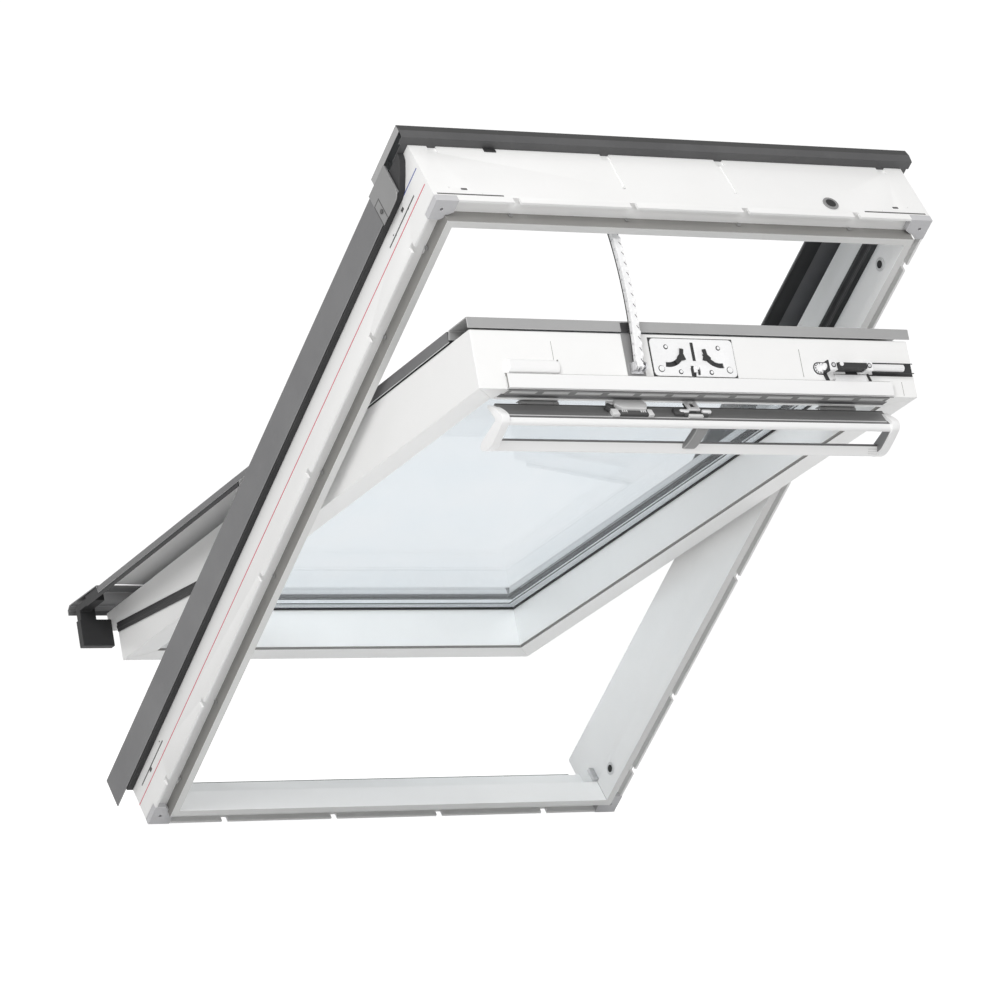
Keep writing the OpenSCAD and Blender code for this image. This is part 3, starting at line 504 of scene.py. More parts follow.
def connect_skin(wire: Sockets, skin: bpy.types.Node, shader: bpy.types.Node, bump: float) -> None:
    """Feeds a group's colour, roughness and height to a principled shader.

    Args:
        wire: Wiring helper of the material.
        skin: The group node.
        shader: The principled shader.
        bump: Strength of the bump.
    """
    wire.join(skin.outputs["Colour"], shader.inputs["Base Color"])
    wire.join(skin.outputs["Roughness"], shader.inputs["Roughness"])
    relief = wire.add("ShaderNodeBump", Strength=bump, Distance=GRAIN_DEPTH)
    wire.join(skin.outputs["Height"], relief.inputs["Height"])
    wire.join(relief.outputs["Normal"], shader.inputs["Normal"])


WHITE = FilmFinish("satin_white", "white_lacquer", grey(0.92, -0.006), grey(0.70, -0.01),
                   edge=0.3, roughness=0.34, bump=0.03, coat=0.15, cloud=0.08, dust=0.05)
SHELL = FilmFinish("moulded_white", "white_lacquer", grey(0.90, 0.0), grey(0.68, -0.01),
                   edge=0.2, roughness=0.28, bump=0.02, coat=0.3, cloud=0.06, dust=0.03)
# Grey of real seams and mitre joints, also used as painted shade on the frame's groove walls, the sash's rim
# step and the vent flap's ends.
SHADE_AND_SEAM_GREY = FilmFinish("shade_and_seam_grey", "grey_plastic", (0.27, 0.265, 0.255, 1), grey(0.18, -0.01),
                    edge=0.1, roughness=0.5, cloud=0.2)
LIP = FilmFinish("lip_grey", "pale_plastic", (0.74, 0.74, 0.73, 1), grey(0.55, -0.01),
                 edge=0.5, roughness=0.42, cloud=0.15)
BLOCK = FilmFinish("corner_grey", "pale_plastic", grey(0.58, 0.015), grey(0.40), edge=0.3, roughness=0.45)
PALE = FilmFinish("moulded_pale", "pale_plastic", grey(0.66), grey(0.42), edge=0.3, roughness=0.45,
                  grain_scale=1600, bump=0.05)
# The top cladding's own dark grey, also used as painted shade on the sash's room face and for the control
# bar's dark lines.
DARK_CLAD_AND_SHADE = FilmFinish("cladding_dark_and_shade", "dark_cladding", grey(0.070, 0.002), grey(0.16), grey(0.26),
                       cloud=0.22, dust=0.20, edge=0.5, roughness=0.42, metallic=0.25, bump=0.05,
                       grain_scale=2200)
# Painted shade: a darker copy of the cladding for one face of the top cladding's fold.
SHADED_CLAD = FilmFinish("cladding_painted_shade", "dark_cladding", grey(0.014), grey(0.04), grey(0.08),
                        cloud=0.2, dust=0.15, edge=0.3, roughness=0.55, bump=0.05, grain_scale=2200)
MID_CLAD = FilmFinish("cladding_mid", "mid_cladding", grey(0.155, 0.004), grey(0.25), grey(0.40),
                      cloud=0.22, dust=0.20, edge=0.5, roughness=0.42, metallic=0.25, bump=0.05,
                      grain_scale=2200)
LIGHT_CLAD = FilmFinish("cladding_light", "light_cladding", grey(0.36), grey(0.50), grey(0.62),
                        cloud=0.16, dust=0.12, edge=0.5, roughness=0.4, metallic=0.2, bump=0.05,
                        grain_scale=2200)
COVER_GREY = FilmFinish("cover_grey", "light_cladding", grey(0.25), grey(0.36), grey(0.5), cloud=0.16,
                        dust=0.12, edge=0.5, roughness=0.4, metallic=0.2, bump=0.05, grain_scale=2200)
# Painted shade: black for the bottoms of holes.
HOLE_SHADE = FilmFinish("hole_shade_black", "black_rubber", grey(0.008), grey(0.02), grey(0.03), cloud=0.2, dust=0.05,
                    edge=0.1, roughness=0.7)
RUBBER = FilmFinish("gasket_black", "black_rubber", grey(0.010, 0.001), grey(0.045), grey(0.05),
                    cloud=0.25, dust=0.25, edge=0.5, roughness=0.55, bump=0.12, grain_scale=1500)
GREY_MOULD = FilmFinish("moulded_grey", "grey_plastic", grey(0.24), grey(0.34), grey(0.42), cloud=0.15,
                        dust=0.12, edge=0.4, roughness=0.5, bump=0.1, grain_scale=1600)
BOX_GREY = FilmFinish("lock_case_grey", "light_cladding", grey(0.74), grey(0.60), grey(0.7), cloud=0.12,
                      dust=0.1, edge=0.4, roughness=0.45, bump=0.08, grain_scale=1600)
RED_LINE = FilmFinish("mark_red", "pale_plastic", (0.66, 0.12, 0.17, 1), (0.75, 0.25, 0.28, 1),
                      cloud=0.2, dust=0.2, edge=0.0, roughness=0.5)
BLUE_LINE = FilmFinish("mark_blue", "pale_plastic", (0.09, 0.12, 0.36, 1), (0.25, 0.3, 0.5, 1),
                       cloud=0.2, dust=0.2, edge=0.0, roughness=0.5)
ZINC = MetalFinish("zinc_plate", "zinc_steel", grey(0.66, 0.012), grey(0.36, 0.012))
BRIGHT = MetalFinish("bright_plate", "zinc_steel", grey(0.90, 0.005), grey(0.70, 0.005), streak=0.2,
                     crystal=0.12, roughness=0.38, metallic=0.25)
INK = FilmFinish("printed_ink", "grey_plastic", grey(0.06), grey(0.2), cloud=0.2, dust=0.15, edge=0.0,
                 roughness=0.55)
SPACER = FilmFinish("spacer_strip", "zinc_steel", grey(0.95), grey(0.80), grey(1.0), cloud=0.08, dust=0.05,
                    edge=0.3, roughness=0.3, bump=0.02)
ANODISED = MetalFinish("anodised_grey", "channel_grey", grey(0.26), grey(0.17), crystal=0.0,
                       roughness=0.38, metallic=0.55)
BLACKENED = MetalFinish("blackened_steel", "dark_cam", grey(0.028), grey(0.07), roughness=0.4,
                        metallic=0.6)
GLASS = GlassFinish("coated_glass", "glass")


class Palette:
    """Builds each finish once and hands out its material."""

    def __init__(self) -> None:
        """Makes the shared node groups."""
        self._groups = {"film": build_film_group(), "brush": build_brush_group()}
        self._made: dict[str, bpy.types.Material] = {}

    def get(self, finish: Finish) -> bpy.types.Material:
        """Hands out a material, made at its first use.

        Args:
            finish: The finish.

        Returns:
            Its material.
        """
        if finish.name not in self._made:
            self._made[finish.name] = finish.build(self._groups)
        return self._made[finish.name]


# --------------------------------------------------------------- plane, shape


@dataclass(frozen=True)
class Plane:
    """Carries millimetres of the window plane to metres of the row frame."""

    matrix: Matrix

    @staticmethod
    def of_window(pitch: float, opening: float, pivot_z: float) -> "Plane":
        """Makes the plane of a roof pitch, with its sash turned open.

        Args:
            pitch: Roof pitch in radians.
            opening: How far the sash stands open, in radians.
            pivot_z: Height of the pivot line above the frame's lip, in millimetres.

        Returns:
            The plane.
        """
        up = Matrix.Translation((0, 0, pivot_z))
        swing = up @ Matrix.Rotation(opening, 4, "X") @ up.inverted()
        return Plane(Matrix.Scale(MM, 4) @ Matrix.Rotation(-pitch, 4, "X") @ swing)

    def extent(self, node: bpy.types.Object) -> tuple[Vector, Vector]:
        """Measures a node in this plane, in millimetres.

        Args:
            node: The node.

        Returns:
            Its lowest and its highest corner.
        """
        back = self.matrix.inverted()
        points = [back @ v.co for v in node.data.vertices]
        return (Vector([min(p[i] for p in points) for i in range(3)]),
                Vector([max(p[i] for p in points) for i in range(3)]))


# Name of the face layer that marks rounded edges.
RIM = "rim"
# Angles past which an edge is rounded, is shaded sharp, and is an edge at all.
SHARP = math.radians(30)
SMOOTH = math.radians(20)
FLAT = math.radians(0.5)
# Corners of a copied node that are nearer than this become one.
MERGE = 0.01 * MM
# Most that a rounding takes of a thickness or length, and of a rod's radius.
SOFT_SHARE = 0.45
SOFT_RADIUS = 0.8


class Shape:
    """A mesh in the making; primitives are added in millimetres of the window plane."""

    def __init__(self) -> None:
        """Starts empty, with a face layer that marks rounded edges."""
        self.mesh = bmesh.new()
        self.mesh.faces.layers.float.new(RIM)

    def _take(self, part: bmesh.types.BMesh, place: Matrix) -> "Shape":
        """Moves a finished bmesh into this shape.

        Args:
            part: The bmesh, which is used up.
            place: Where it goes.

        Returns:
            This shape.
        """
        bmesh.ops.transform(part, matrix=place, verts=part.verts)
        bmesh.ops.recalc_face_normals(part, faces=part.faces)
        carrier = bpy.data.meshes.new("carrier")
        part.to_mesh(carrier)
        part.free()
        self.mesh.from_mesh(carrier)
        bpy.data.meshes.remove(carrier)
        return self

    @staticmethod
    def _start() -> bmesh.types.BMesh:
        """Makes an empty bmesh with the layer that marks rounded edges.

        Returns:
            The bmesh.
        """
        part = bmesh.new()
        part.faces.layers.float.new(RIM)
        return part

    def box(self, x: Span, y: Span, z: Span, soft: float = 0.0, steps: int = 2,
            place: Matrix = Matrix.Identity(4)) -> "Shape":
        """Adds a box with rounded edges.

        Args:
            x: Span across the window.
            y: Span down the slope.
            z: Span outward.
            soft: Radius of the edges.
            steps: Facets of each rounded edge.
            place: A further transform.

        Returns:
            This shape.
        """
        part = self._start()
        size = [s[1] - s[0] for s in (x, y, z)]
        middle = Vector([(s[0] + s[1]) / 2 for s in (x, y, z)])
        bmesh.ops.create_cube(part, size=1, matrix=Matrix.Translation(middle) @ Matrix.Diagonal((*size, 1)))
        if soft:
            soften(part, part.edges[:], min(soft, SOFT_SHARE * min(size)), steps)
        return self._take(part, place)

    def rod(self, axis: Axis, start: Sequence[float], length: float, radius: float, soft: float = 0.0,
            sides: int = 32, place: Matrix = Matrix.Identity(4)) -> "Shape":
        """Adds a cylinder.

        Args:
            axis: Direction that it runs in.
            start: Middle of its first end.
            length: Its length, negative to run the other way.
            radius: Its radius.
            soft: Radius of its end edges.
            sides: Facets round it.
            place: A further transform.

        Returns:
            This shape.
        """
        part = self._start()
        bmesh.ops.create_cone(part, cap_ends=True, segments=sides, radius1=radius, radius2=radius,
                              depth=abs(length), matrix=Matrix.Translation((0, 0, abs(length) / 2)))
        if soft:
            soften(part, sharp_edges(part), min(soft, SOFT_SHARE * abs(length), SOFT_RADIUS * radius))
        turn = (axis.vector * math.copysign(1, length)).to_track_quat("Z", "Y").to_matrix().to_4x4()
        return self._take(part, place @ Matrix.Translation(Vector(start)) @ turn)

    def prism(self, axis: Axis, outline: Sequence[Point], span: Span, soft: float = 0.0, steps: int = 2,
              place: Matrix = Matrix.Identity(4)) -> "Shape":
        """Adds an outline run along an axis.

        Args:
            axis: Direction that it runs in; the outline lies in the other two, in x, y, z order.
            outline: Its corners.
            span: Where it starts and ends.
            soft: Radius of its sharp edges.
            steps: Facets of each rounded edge.
            place: A further transform.

        Returns:
            This shape.
        """
        part = self._start()
        at = axis.value
        face = part.faces.new([part.verts.new((*p[:at], span[0], *p[at:])) for p in outline])
        pulled = bmesh.ops.extrude_face_region(part, geom=[face])
        moved = [g for g in pulled["geom"] if isinstance(g, bmesh.types.BMVert)]
        bmesh.ops.translate(part, verts=moved, vec=axis.vector * (span[1] - span[0]))
        bmesh.ops.recalc_face_normals(part, faces=part.faces)
        if soft:
            soften(part, sharp_edges(part), soft, steps)
        return self._take(part, place)

    def mirrored(self) -> "Shape":
        """Adds a copy of everything so far, mirrored left to right.

        Returns:
            This shape.
        """
        everything = [*self.mesh.verts, *self.mesh.edges, *self.mesh.faces]
        copy = bmesh.ops.duplicate(self.mesh, geom=everything)["geom"]
        verts = [g for g in copy if isinstance(g, bmesh.types.BMVert)]
        faces = [g for g in copy if isinstance(g, bmesh.types.BMFace)]
        bmesh.ops.transform(self.mesh, matrix=Matrix.Diagonal((-1, 1, 1, 1)), verts=verts)
        bmesh.ops.recalc_face_normals(self.mesh, faces=faces)
        return self


def sharp_edges(part: bmesh.types.BMesh) -> list[bmesh.types.BMEdge]:
    """Edges whose two faces meet at more than the sharp angle."""
    return [e for e in part.edges if len(e.link_faces) == 2 and e.calc_face_angle(0) > SHARP]


def soften(part: bmesh.types.BMesh, edges: list[bmesh.types.BMEdge], radius: float, steps: int = 2) -> None:
    """Rounds edges and marks the new faces on the rim layer.

    Args:
        part: The mesh.
        edges: Edges to round.
        radius: How far the rounding reaches.
        steps: Facets of each rounded edge.
    """
    layer = part.faces.layers.float[RIM]
    made = bmesh.ops.bevel(part, geom=edges, offset=radius, offset_type="OFFSET", segments=steps,
                           profile=0.5, affect="EDGES", clamp_overlap=True, material=-1)
    for face in made["faces"]:
        face[layer] = 1.0


# ---------------------------------------------------------------- the workshop


@dataclass
class Workshop:
    """What every sub-assembly needs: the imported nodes, the two planes and the finishes."""

    frame: dict
    palette: Palette
    closed: Plane
    opened: Plane
    count: int = 0

    @staticmethod
    def of(frame: dict) -> "Workshop":
        """Reads pitch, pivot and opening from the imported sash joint.


        Returns:
            The workshop.
        """
        pivot = next(j for j in frame["joints"] if j["name"] == "sash_pivot")
        place = Vector(pivot["pos_m"])
        pitch = math.atan2(place.y, place.z)
        opening = math.radians(abs(pivot["range_deg"][0]))
        height = place.length / MM
        return Workshop(frame, Palette(), Plane.of_window(pitch, 0.0, height),
                        Plane.of_window(pitch, opening, height))

    def low_high(self, node: str, sash: bool = False) -> tuple[Vector, Vector]:
        """A node's box in the frame's plane, or in the sash's."""
        return (self.opened if sash else self.closed).extent(self.frame["nodes"][node])

    def piece(self, shape: Shape, name: str, body: Body, finish: Finish, sash: bool = True,
              replaces: Iterable[str] = ()) -> bpy.types.Object:
        """Makes a shape an object that rides on a body.

        Args:
            shape: The shape, in millimetres.
            name: The piece's name.
            body: The body it rides on.
            finish: Its finish.
            sash: Whether it is drawn on the closed sash rather than on the frame.
            replaces: CAD nodes that it stands for.

        Returns:
            The object.
        """
        place = (self.opened if sash else self.closed).matrix
        bmesh.ops.transform(shape.mesh, matrix=place, verts=shape.mesh.verts)
        return self._settle(shape.mesh, name, body, finish, replaces)

    def _settle(self, mesh: bmesh.types.BMesh, name: str, body: Optional[Body], finish: Finish,
                replaces: Iterable[str], others: Sequence[Finish] = ()) -> bpy.types.Object:
        """Writes a bmesh in metres to an object, finishes it and registers it.

        Args:
            mesh: The bmesh, which is used up.
            name: The piece's name.
            body: The body it rides on, or None where it bends between two.
            finish: Its finish.
            replaces: CAD nodes that it stands for.
            others: Further finishes that some faces take.

        Returns:
            The object.
        """
        data = bpy.data.meshes.new(name)
        mesh.to_mesh(data)
        mesh.free()
        data.shade_smooth()
        data.set_sharp_from_angle(angle=SMOOTH)
        for skin in (finish, *others):
            data.materials.append(self.palette.get(skin))
        made = bpy.data.objects.new(name, data)
        bpy.context.scene.collection.objects.link(made)
        if body is not None:
            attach(made, body.value)
        nodes = list(replaces)
        if nodes:
            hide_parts(*nodes)
        self.count += 1
        LOG.info("piece %s (%d faces)", name, len(data.polygons))
        return made

    def rounded(self, node: str, body: Body, finish: Finish, radius: float,
                others: Sequence[Finish] = (), paint: Optional[Painter] = None) -> bpy.types.Object:
        """Stands a copy of a CAD node, merged and with rounded edges, for the node.

        Args:
            node: The CAD node.
            body: Its body.
            finish: Its finish.
            radius: Radius of the edges, in millimetres.
            others: Further finishes that some faces take.
            paint: Picks the finish of a face from its middle and its normal, in the plane's
                millimetres: 0 is the first finish, and others follow.

        Returns:
            The object.
        """
        mesh = bmesh.new()
        mesh.from_mesh(self.frame["nodes"][node].data)
        mesh.faces.layers.float.new(RIM)
        bmesh.ops.remove_doubles(mesh, verts=mesh.verts, dist=MERGE)
        bmesh.ops.dissolve_limit(mesh, angle_limit=FLAT, verts=mesh.verts, edges=mesh.edges,
                                 delimit={"NORMAL"})
        if paint is not None:
            plane = self.closed if body is Body.FRAME else self.opened
            back = plane.matrix.inverted()
            turn = back.to_3x3() * MM
            for face in mesh.faces:
                face.material_index = paint(back @ face.calc_center_median(), turn @ face.normal)
        sharp = sharp_edges(mesh)
        if radius and sharp:
            soften(mesh, sharp, radius * MM)
        return self._settle(mesh, node + "_finished", body, finish, [node], others)

    def crossing(self, shape: Shape, name: str, finish: Finish, start: Vector, end: Vector,
                 replaces: Iterable[str] = ()) -> bpy.types.Object:
        """Makes a frame-plane shape an object that bends between the frame and the sash.

        Args:
            shape: The shape, in millimetres.
            name: The piece's name.
            finish: Its finish.
            start: Where it leaves the frame, in the frame's plane.
            end: Where it meets the sash, in the frame's plane.
            replaces: CAD nodes that it stands for.

        Returns:
            The object.
        """
        place = self.closed.matrix
        bmesh.ops.transform(shape.mesh, matrix=place, verts=shape.mesh.verts)
        made = self._settle(shape.mesh, name, None, finish, replaces)
        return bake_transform(made, Body.FRAME.value, Body.SASH.value, start=place @ start, end=place @ end)


# --------------------------------------------------------------- sub-assemblies


@dataclass
class CarriedNodes:
    """CAD nodes whose shape is right: they get their finish and rounded edges."""

    shop: Workshop
    plan: dict[Body, list[tuple[str, Finish, float]]] = field(default_factory=lambda: {
        Body.FRAME: [
            ("lining_corners", BLOCK, 0.8), ("lining_screws", GREY_MOULD, 0.4),
            ("frame_bottom_cladding", MID_CLAD, 0.5),
            ("side_flange_left", MID_CLAD, 0.5), ("side_flange_right", MID_CLAD, 0.5),
            ("side_cover_left", MID_CLAD, 0.5), ("side_cover_right", MID_CLAD, 0.5),
            ("corner_cover_left", COVER_GREY, 0.6), ("corner_cover_right", COVER_GREY, 0.6),
            ("corner_cover_screws", INK, 0.5), ("flange_gaskets", RUBBER, 0.5),
            ("reveal_gaskets", RUBBER, 0.6), ("cover_gaskets", RUBBER, 0.5),
            ("cable_gland", GREY_MOULD, 0.4), ("bolt_bushes", PALE, 0.5),
            ("pivot_housings", ZINC, 0.5), ("chain_operator", PALE, 0.5), ("striker", ZINC, 0.4)],
        Body.SASH: [
            ("glass_spacer", SPACER, 0.0), ("glazing_seals", RUBBER, 0.0),
            ("side_seals", RUBBER, 0.4), ("end_blocks", RUBBER, 1.5), ("pivot_plates", ZINC, 0.5),
            ("sash_top_cladding", LIGHT_CLAD, 0.5), ("sash_bottom_cladding", MID_CLAD, 0.5),
            ("data_cover", SHELL, 1.2), ("chain_strip", GREY_MOULD, 0.2),
            ("chain_bracket", ZINC, 0.4), ("lock_plate", BRIGHT, 0.3), ("lock_rivets", BRIGHT, 0.5),
            ("vent_grille", GREY_MOULD, 0.2), ("bar_hinge_blocks", GREY_MOULD, 0.4),
            ("bar_hinge_pins", ZINC, 0.3), ("bolt_housing", BRIGHT, 0.4),
            ("pane_inner", GLASS, 0.0), ("pane_outer", GLASS, 0.0)],
        Body.BAR: [("bar_channel", ANODISED, 0.4), ("bar_knuckles", GREY_MOULD, 0.4),
                   ("bar_edge", SHELL, 0.5), ("bar_grip", SHELL, 0.3)],
        Body.BOLT: [("bolt_rod", BRIGHT, 0.6)],
        Body.CAM_L: [("cam_left", BLACKENED, 0.3)],
        Body.CAM_R: [("cam_right", BLACKENED, 0.3)],
    })

    def build(self) -> None:
        """Finishes every node of the plan."""
        for body, rows in self.plan.items():
            for node, finish, radius in rows:
                self.shop.rounded(node, body, finish, radius)


@dataclass(frozen=True)
class Sizes:
    """Places that several sub-assemblies share, in millimetres of the window plane.

    Attributes:
        fx: The frame's side face, from the middle.
        fy: The frame's end face, from the middle.
        ix: The frame's side reveal.
        iy: The frame's end reveal.
        sx: The sash's side face.
        st: The sash's top face.
        sb: The sash's bottom face.
        gx: The sash's side reveal.
        gt: The sash's top reveal.
        gb: The sash's bottom reveal.
        room: Level of the sash's room face.
        glass: Level of the room-side pane.
    """

    fx: float
    fy: float
    ix: float
    iy: float
    sx: float
    st: float
    sb: float
    gx: float
    gt: float
    gb: float
    room: float
    glass: float

    @staticmethod
    def of(shop: Workshop) -> "Sizes":
        """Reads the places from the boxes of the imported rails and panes.

        Args:
            shop: The workshop.

        Returns:
            The places.
        """
        left_low, left_high = shop.low_high("frame_left_rail")
        top_low, top_high = shop.low_high("frame_top_rail")
        side_low, side_high = shop.low_high("sash_left_rail", sash=True)
        head_low, head_high = shop.low_high("sash_top_rail", sash=True)
        pane_low, pane_high = shop.low_high("pane_inner", sash=True)
        overlap = pane_low.x - side_high.x
        return Sizes(-left_low.x, -top_low.y, -left_high.x, -top_high.y, -side_low.x, head_low.y,
                     side_high.y, -side_high.x, head_high.y, pane_high.y + overlap,
                     head_low.z, pane_low.z)


@dataclass
class SubAssembly:
    """Pieces that belong together; every kind of sub-assembly builds its own."""

    shop: Workshop
    sizes: Sizes

    def build(self) -> None:
        """Builds the pieces."""
        raise NotImplementedError


def around(middle: float, half: float) -> Span:
    """A span that reaches equally far to both sides of its middle."""
    return (middle - half, middle + half)


def span_from(base: float, start: float, end: float) -> Span:
    """A span whose ends are measured from a base."""
    return (base + start, base + end)


@dataclass
class Rails(SubAssembly):
    """Lacquered rails of frame and sash, with a grey lip, painted shade on the groove walls and the rim step,
    and painted claddings.

    Attributes:
        lip_z: Level below which a face belongs to the frame's lip.
        groove_top: Level where the lining groove ends.
        wall: How far inside the frame's outer faces the groove's inner wall lies at least.
        rim: Depths of the step round the sash's rim, which is grey as painted shade.
        rim_reach: How far outside the reveal that step goes, at the sides and at the foot.
        reveal_skin: How far inside the reveal the claddings' inner edges lie at least.
        facing: Part of a normal that counts as facing an axis.
        across: Part of a normal that counts as lying across an axis.
        square: Part of a normal that counts as square to an axis.
        crease_z: Level of the crease in the top cladding's fold.
        edge_short: How far the inner edges stop short of the reveal's sides.
        edge_foot: Place of their foot, inward from the reveal and outward from the glass.
        edge_head: Place of their head.
        edge_skin: Nearest and farthest side of their wall.
        gasket_x: Place of the side gaskets from the cladding's outer side.
        gasket_y: Their start below the pivot, and their distance from the sash's foot.
        gasket_z: Their place from the cladding's outer face.
        names: The four sides.
    """

    lip_z: float = 1.0
    groove_top: float = 20.4
    wall: float = 5.0
    rim: Span = (0.2, 3.2)
    rim_reach: Span = (4.0, 6.0)
    reveal_skin: float = 2.0
    facing: float = 0.7
    across: float = 0.3
    square: float = 0.9
    crease_z: float = 130.1
    edge_short: float = 12.0
    edge_foot: Point = (10.0, 23.2)
    edge_head: Point = (6.0, 34.6)
    edge_skin: Span = (0.1, 0.5)
    gasket_x: Span = (1.3, 2.8)
    gasket_y: Span = (60.0, 10.0)
    gasket_z: Span = (-20.0, -4.5)
    names: tuple[str, ...] = ("top", "bottom", "left", "right")

    def frame_face(self, middle: Vector, normal: Vector) -> int:
        """Picks the finish of a frame face.

        Args:
            middle: The face's middle.
            normal: The face's normal.

        Returns:
            1 for the lip, 2 for the groove's inner wall, whose grey is painted shade, 0 elsewhere.
        """
        if normal.z < -self.facing and middle.z < self.lip_z:
            return 1
        inside = abs(middle.x) < self.sizes.fx - self.wall and abs(middle.y) < self.sizes.fy - self.wall
        outward = max(normal.x * math.copysign(1, middle.x), normal.y * math.copysign(1, middle.y))
        groove = 0 < middle.z < self.groove_top and abs(normal.z) < self.across
        return 2 if inside and outward > self.facing and groove else 0

    def sash_face(self, middle: Vector, normal: Vector) -> int:
        """Picks the finish of a sash face.

        Args:
            middle: The face's middle.
            normal: The face's normal.

        Returns:
            1 for the step round the rim, whose grey is painted shade, 0 elsewhere.
        """
        s, (side, foot) = self.sizes, self.rim_reach
        step = self.rim[0] < middle.z - s.room < self.rim[1]
        shown = abs(normal.z) < self.across or normal.z < -self.facing
        near = abs(middle.x) < s.gx + side and s.gt - side < middle.y < s.gb + foot
        return 1 if step and shown and near else 0

    def cladding_face(self, middle: Vector, normal: Vector) -> int:
        """Picks the finish of a face of the sash's side claddings.

        Args:
            middle: The face's middle.
            normal: The face's normal.

        Returns:
            1 for the pale underside and inner edge, 0 elsewhere.
        """
        s, skin = self.sizes, self.reveal_skin
        if abs(middle.x) > s.sx:
            return 1 if normal.z < -self.facing and middle.y < s.sb else 0
        inside = abs(middle.x) < s.gx - skin and s.gt + skin < middle.y < s.gb - skin
        inward = normal.x * middle.x < -0.01 or normal.y * middle.y < -0.01
        return 1 if inside and inward and abs(normal.z) < self.square else 0

    def crest_face(self, middle: Vector, normal: Vector) -> int:
        """Finish of a top cladding face: 1 for the outer half of its upslope fold, darkened as painted shade,
        0 elsewhere.
        """
        return 1 if normal.y < -self.square and middle.z > self.crease_z else 0

    def flap_face(self, _: Vector, normal: Vector) -> int:
        """Finish of a flap face: 1 for its ends, grey as painted shade, 0 elsewhere."""
        return 1 if abs(normal.x) > self.square else 0

    def inner_edges(self) -> None:
        """Builds the pale inner edges of the sash's top and bottom claddings."""
        shape = Shape()
        glass, (near, far) = self.sizes.glass, self.edge_skin
        (foot, foot_z), (head, head_z) = self.edge_foot, self.edge_head
        for y, way in ((self.sizes.gt, 1), (self.sizes.gb, -1)):
            corners = ((foot + near, foot_z), (foot + far, foot_z),
                       (head + far, head_z), (head + near, head_z))
            shape.prism(Axis.X, [(y + way * inward, glass + z) for inward, z in corners],
                        around(0.0, self.sizes.gx - self.edge_short))
        self.shop.piece(shape, "cladding_inner_edges", Body.SASH, SHELL)

    def side_gaskets(self) -> None:
        """Builds the gaskets under the lower side claddings."""
        low, high = self.shop.low_high("sash_left_cladding", sash=True)
        start, gap = self.gasket_y
        shape = Shape().box(span_from(low.x, *self.gasket_x), (start, self.sizes.sb - gap),
                            span_from(high.z, *self.gasket_z), 0.4)
        self.shop.piece(shape.mirrored(), "cladding_gaskets", Body.SASH, RUBBER)

    def build(self) -> None:
        """Finishes the eight rails, the painted claddings and the vent flap."""
        for side in self.names:
            # The frame's groove walls and the sash's rim step take grey as painted shade.
            self.shop.rounded(f"frame_{side}_rail", Body.FRAME, WHITE, 0.8, others=(LIP, SHADE_AND_SEAM_GREY),
                              paint=self.frame_face)
            self.shop.rounded(f"sash_{side}_rail", Body.SASH, WHITE, 0.9, others=(SHADE_AND_SEAM_GREY,),
                              paint=self.sash_face)
        for side in ("left", "right"):
            self.shop.rounded(f"sash_{side}_cladding", Body.SASH, MID_CLAD, 0.5, others=(SHELL,),
                              paint=self.cladding_face)
        self.inner_edges()
        self.side_gaskets()
        # The flap's ends take grey as painted shade.
        self.shop.rounded("vent_flap", Body.FLAP, SHELL, 0.5, others=(SHADE_AND_SEAM_GREY,), paint=self.flap_face)
        # The outer half of the top cladding's upslope fold is darkened as painted shade.
        self.shop.rounded("frame_top_cladding", Body.FRAME, DARK_CLAD_AND_SHADE, 0.0, others=(SHADED_CLAD,),
                          paint=self.crest_face)


@dataclass
class PrintedMarks(SubAssembly):
    """Coloured fitting lines and bracket marks on the frame's outer faces.

    Attributes:
        proud: How far the ink stands off its face.
        line: Width of the coloured lines.
        inset: How far below the frame's top end they start.
        red_z: Level of the red line.
        blue_z: Level of the blue line.
        blue_end: Where the blue line ends, from the frame's top end.
        seam: Width of the bracket lines.
        side_lines: Span and level of each bracket line on the side.
        blocks: Corner of each small block on the side.
        block: Its size, down the slope and outward.
        dots: Middle of each dot on the side.
        dot_r: Radius of the dots.
        top_line: Span of the bracket line on the top face.
        top_z: Its level.
        top_block: Spans of the small block on the top face, across and outward.
    """

    proud: float = 0.18
    line: float = 1.7
    inset: float = 6.0
    red_z: float = 47.5
    blue_z: float = 79.0
    blue_end: float = 55.0
    seam: float = 2.2
    side_lines: tuple[tuple[Span, float], ...] = (((-554.0, -463.0), 58.5), ((471.0, 563.0), 62.0))
    blocks: tuple[Point, ...] = ((-524.0, 66.0), (523.0, 56.0))
    block: Point = (7.0, 5.0)
    dots: tuple[Point, ...] = ((-481.0, 63.0), (479.0, 68.0))
    dot_r: float = 1.2
    top_line: Span = (-384.0, -284.0)
    top_z: float = 23.0
    top_block: tuple[Span, Span] = ((-344.0, -335.0), (32.0, 35.4))

    def side_line(self, shape: Shape, y: Span, z: float, wide: float) -> None:
        """Adds a line along the left face.

        Args:
            shape: Shape that takes it.
            y: Its span.
            z: Its level.
            wide: Its width.
        """
        shape.box(around(-self.sizes.fx, self.proud), y, around(z, wide / 2))

    def build(self) -> None:
        """Builds the lines, mirrored to the right side."""
        red, blue, ink = Shape(), Shape(), Shape()
        side, top = -self.sizes.fx, -self.sizes.fy
        self.side_line(red, (top + self.inset, self.sizes.fy), self.red_z, self.line)
        self.side_line(blue, (top + self.inset, top + self.blue_end), self.blue_z, self.line)
        for span, level in self.side_lines:
            self.side_line(ink, span, level, self.seam)
        for y, z in self.blocks:
            ink.box(around(side, self.proud), (y, y + self.block[0]), (z, z + self.block[1]))
        for y, z in self.dots:
            ink.rod(Axis.X, (side - self.proud, y, z), 0.3, self.dot_r)
        ink.box(self.top_line, around(top, self.proud), around(self.top_z, self.seam / 2))
        ink.box(self.top_block[0], around(top, self.proud), self.top_block[1])
        for shape, name, finish in ((red, "line_red", RED_LINE), (blue, "line_blue", BLUE_LINE),
                                    (ink, "bracket_marks", INK)):
            self.shop.piece(shape.mirrored(), name, Body.FRAME, finish, sash=False)


